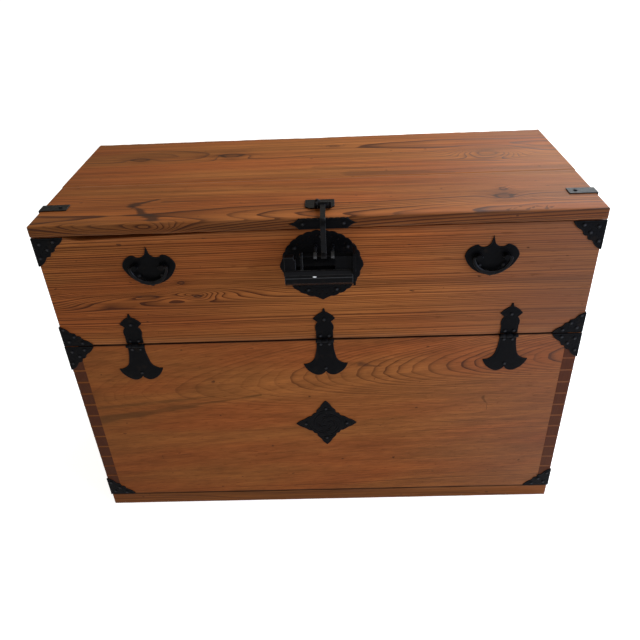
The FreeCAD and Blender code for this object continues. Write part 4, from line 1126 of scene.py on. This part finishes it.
class CHEST_OT_hinges(bpy.types.Operator):
    """Strap hinges with rolled knuckles"""

    bl_idname = "chest.hinges"
    bl_label = "Hinges"

    def execute(self, context):
        iron = bpy.data.materials["forged_iron"]
        for place in PLACES:
            upper, lower = "hinge_upper_leaf_" + place, "hinge_lower_leaf_" + place
            mid, axis_y = middle_of("hinge_pin_" + place, (X, Y))
            dress("hinge_pin_" + place, iron)
            self.leaf(upper, "strap_upper_" + place, mid, SEAM_Z + 30 * MM, axis_y, iron)
            self.leaf(lower, "strap_lower_" + place, mid, SEAM_Z - 58 * MM, axis_y, iron)
        return {"FINISHED"}

    def leaf(self, node, name, mid, centre_z, axis_y, iron):
        """One leaf: its chased strap, and a knuckle over each run of the node past the strap's face."""
        places, _ = cad_triangles(node)
        plate = chased_plate(node, Y, -1, (mid, centre_z), rim_relief, 220, 26, IRON_Y)
        barrel = places[places[:, Y] < IRON_Y - 0.5 * MM]
        radius = (barrel[:, Z].max() - barrel[:, Z].min()) / 2
        ends = np.abs(barrel[:, X] - mid)
        near, far = ends.min(), ends.max()
        spans = [(-far, far)] if far - near < MM else [(-far, -near), (near, far)]
        knuckles = [knuckle_surface(mid + a, mid + b, axis_y, SEAM_Z, radius) for a, b in spans]
        iron_piece(name, [plate] + knuckles, node, iron)


class CHEST_OT_nails(bpy.types.Operator):
    """Hammered nail heads"""

    bl_idname = "chest.nails"
    bl_label = "Nails"

    def execute(self, context):
        iron = bpy.data.materials["forged_iron"]
        for group in ("nails_flap", "nails_front", "nails_top"):
            heads = [nail_head(*place, seed) for seed, place in enumerate(nail_places(group))]
            iron_piece("heads_" + group, heads, group, iron)
        return {"FINISHED"}


class CHEST_OT_bails(bpy.types.Operator):
    """Crescent bails of the two handles"""

    bl_idname = "chest.bails"
    bl_label = "Bails"

    def execute(self, context):
        iron = iron_material("bail_iron", 0.07, 0.24)
        for name in SIDES:
            iron_piece("bail_" + name, [bail_surface("handle_bail_" + name)], "handle_bail_" + name, iron)
        return {"FINISHED"}


class CHEST_OT_stage(bpy.types.Operator):
    """Floor, soft lights and the camera"""

    bl_idname = "chest.stage"
    bl_label = "Stage"

    def execute(self, context):
        stage = context.scene.chest_stage
        self.floor(stage)
        self.lamp("key", (2.1, -1.25, 1.0), 1.6, stage.key_power, (0.82, 0.98, 1.40))
        self.lamp("fill", (-1.8, -1.4, 1.5), 1.6, stage.fill_power, (1.0, 0.95, 0.90))
        self.lamp("window", (1.3, 0.5, 1.6), 1.5, stage.window_power, (0.90, 1.0, 1.16))
        self.lamp("far_window", (1.35, 1.9, 1.55), 1.5, stage.far_power, (0.94, 0.98, 1.0))
        self.world(context.scene, stage)
        self.camera(context.scene, stage)
        context.scene.view_settings.view_transform = "Standard"
        return {"FINISHED"}

    def floor(self, stage):
        """Large flat sheet under the chest, nearly white to the eye and in reflections."""
        side = np.linspace(-20, 20, 7)  # metres
        x, y = np.meshgrid(side, side, indexing="ij")
        points = np.stack([x, y, np.zeros_like(x)], axis=-1).reshape(-1, 3)
        mesh = bpy.data.meshes.new("floor")
        mesh.from_pydata(points.tolist(), [], grid_faces(*x.shape, False)[:, ::-1].tolist())
        tree = Shader("pale_floor")
        tree.surface.inputs["Base Color"].default_value = (*stage.floor, 1.0)
        tree.surface.inputs["Roughness"].default_value = 0.9
        tree.surface.inputs["Emission Color"].default_value = (1, 1, 1, 1)
        tree.put(tree.surface.inputs["Emission Strength"], tree.product(tree.seen_directly(), stage.glow))
        mesh.materials.append(tree.material)
        floor = bpy.data.objects.new("floor", mesh)
        bpy.context.scene.collection.objects.link(floor)

    def lamp(self, name, place, size, power, colour):
        """Square soft lamp that points at the middle of the chest."""
        data = bpy.data.lights.new(name, "AREA")
        data.size = size
        data.energy = power
        data.color = colour
        lamp = bpy.data.objects.new(name, data)
        bpy.context.scene.collection.objects.link(lamp)
        middle = (CAD_BOX[0] + CAD_BOX[1]) / 2
        lamp.location = place
        lamp.rotation_euler = (middle - lamp.location).to_track_quat("-Z", "Y").to_euler()

    def world(self, scene, stage):
        """Even light from all round; the floor fills the main view, so the camera doesn't see it there."""
        world = bpy.data.worlds.new("even_light")
        world.use_nodes = True
        background = world.node_tree.nodes["Background"]
        background.inputs["Color"].default_value = (1.0, 0.93, 0.81, 1)
        background.inputs["Strength"].default_value = stage.sky
        scene.world = world

    def camera(self, scene, stage):
        """Camera at the eye, looking down by the dip, turned by the azimuth and tilted by the roll."""
        data = bpy.data.cameras.new("camera")
        data.sensor_width = 36.0
        data.lens = stage.lens
        camera = bpy.data.objects.new("camera", data)
        scene.collection.objects.link(camera)
        aim = Euler((math.pi / 2 - stage.dip, 0, stage.azimuth)).to_matrix()
        camera.matrix_world = (Matrix.Translation(stage.eye)
                               @ (aim @ Matrix.Rotation(stage.roll, 3, "Z")).to_4x4())
        scene.camera = camera


class CHEST_PT_panel(bpy.types.Panel):
    """Steps that dress the chest"""

    bl_idname = "CHEST_PT_panel"
    bl_label = "Half-opening chest"
    bl_space_type = "VIEW_3D"
    bl_region_type = "UI"
    bl_category = "Chest"

    def draw(self, context):
        for step in STEPS:
            self.layout.operator(step.bl_idname)


STEPS = (CHEST_OT_boards, CHEST_OT_plates, CHEST_OT_hinges, CHEST_OT_nails, CHEST_OT_bails, CHEST_OT_stage)
GROUPS = {"chest_boards": BoardSettings, "chest_iron": IronSettings, "chest_stage": StageSettings}


def register():
    for kind in (*GROUPS.values(), *STEPS, CHEST_PT_panel):
        bpy.utils.register_class(kind)
    for name, kind in GROUPS.items():
        setattr(bpy.types.Scene, name, PointerProperty(type=kind))


def unregister():
    for name in GROUPS:
        delattr(bpy.types.Scene, name)
    for kind in reversed((*GROUPS.values(), *STEPS, CHEST_PT_panel)):
        bpy.utils.unregister_class(kind)


def main():
    register()
    bpy.ops.chest.boards()
    bpy.ops.chest.plates()
    bpy.ops.chest.hinges()
    bpy.ops.chest.nails()
    bpy.ops.chest.bails()
    bpy.ops.chest.stage()


if __name__ == "__main__":
    main()
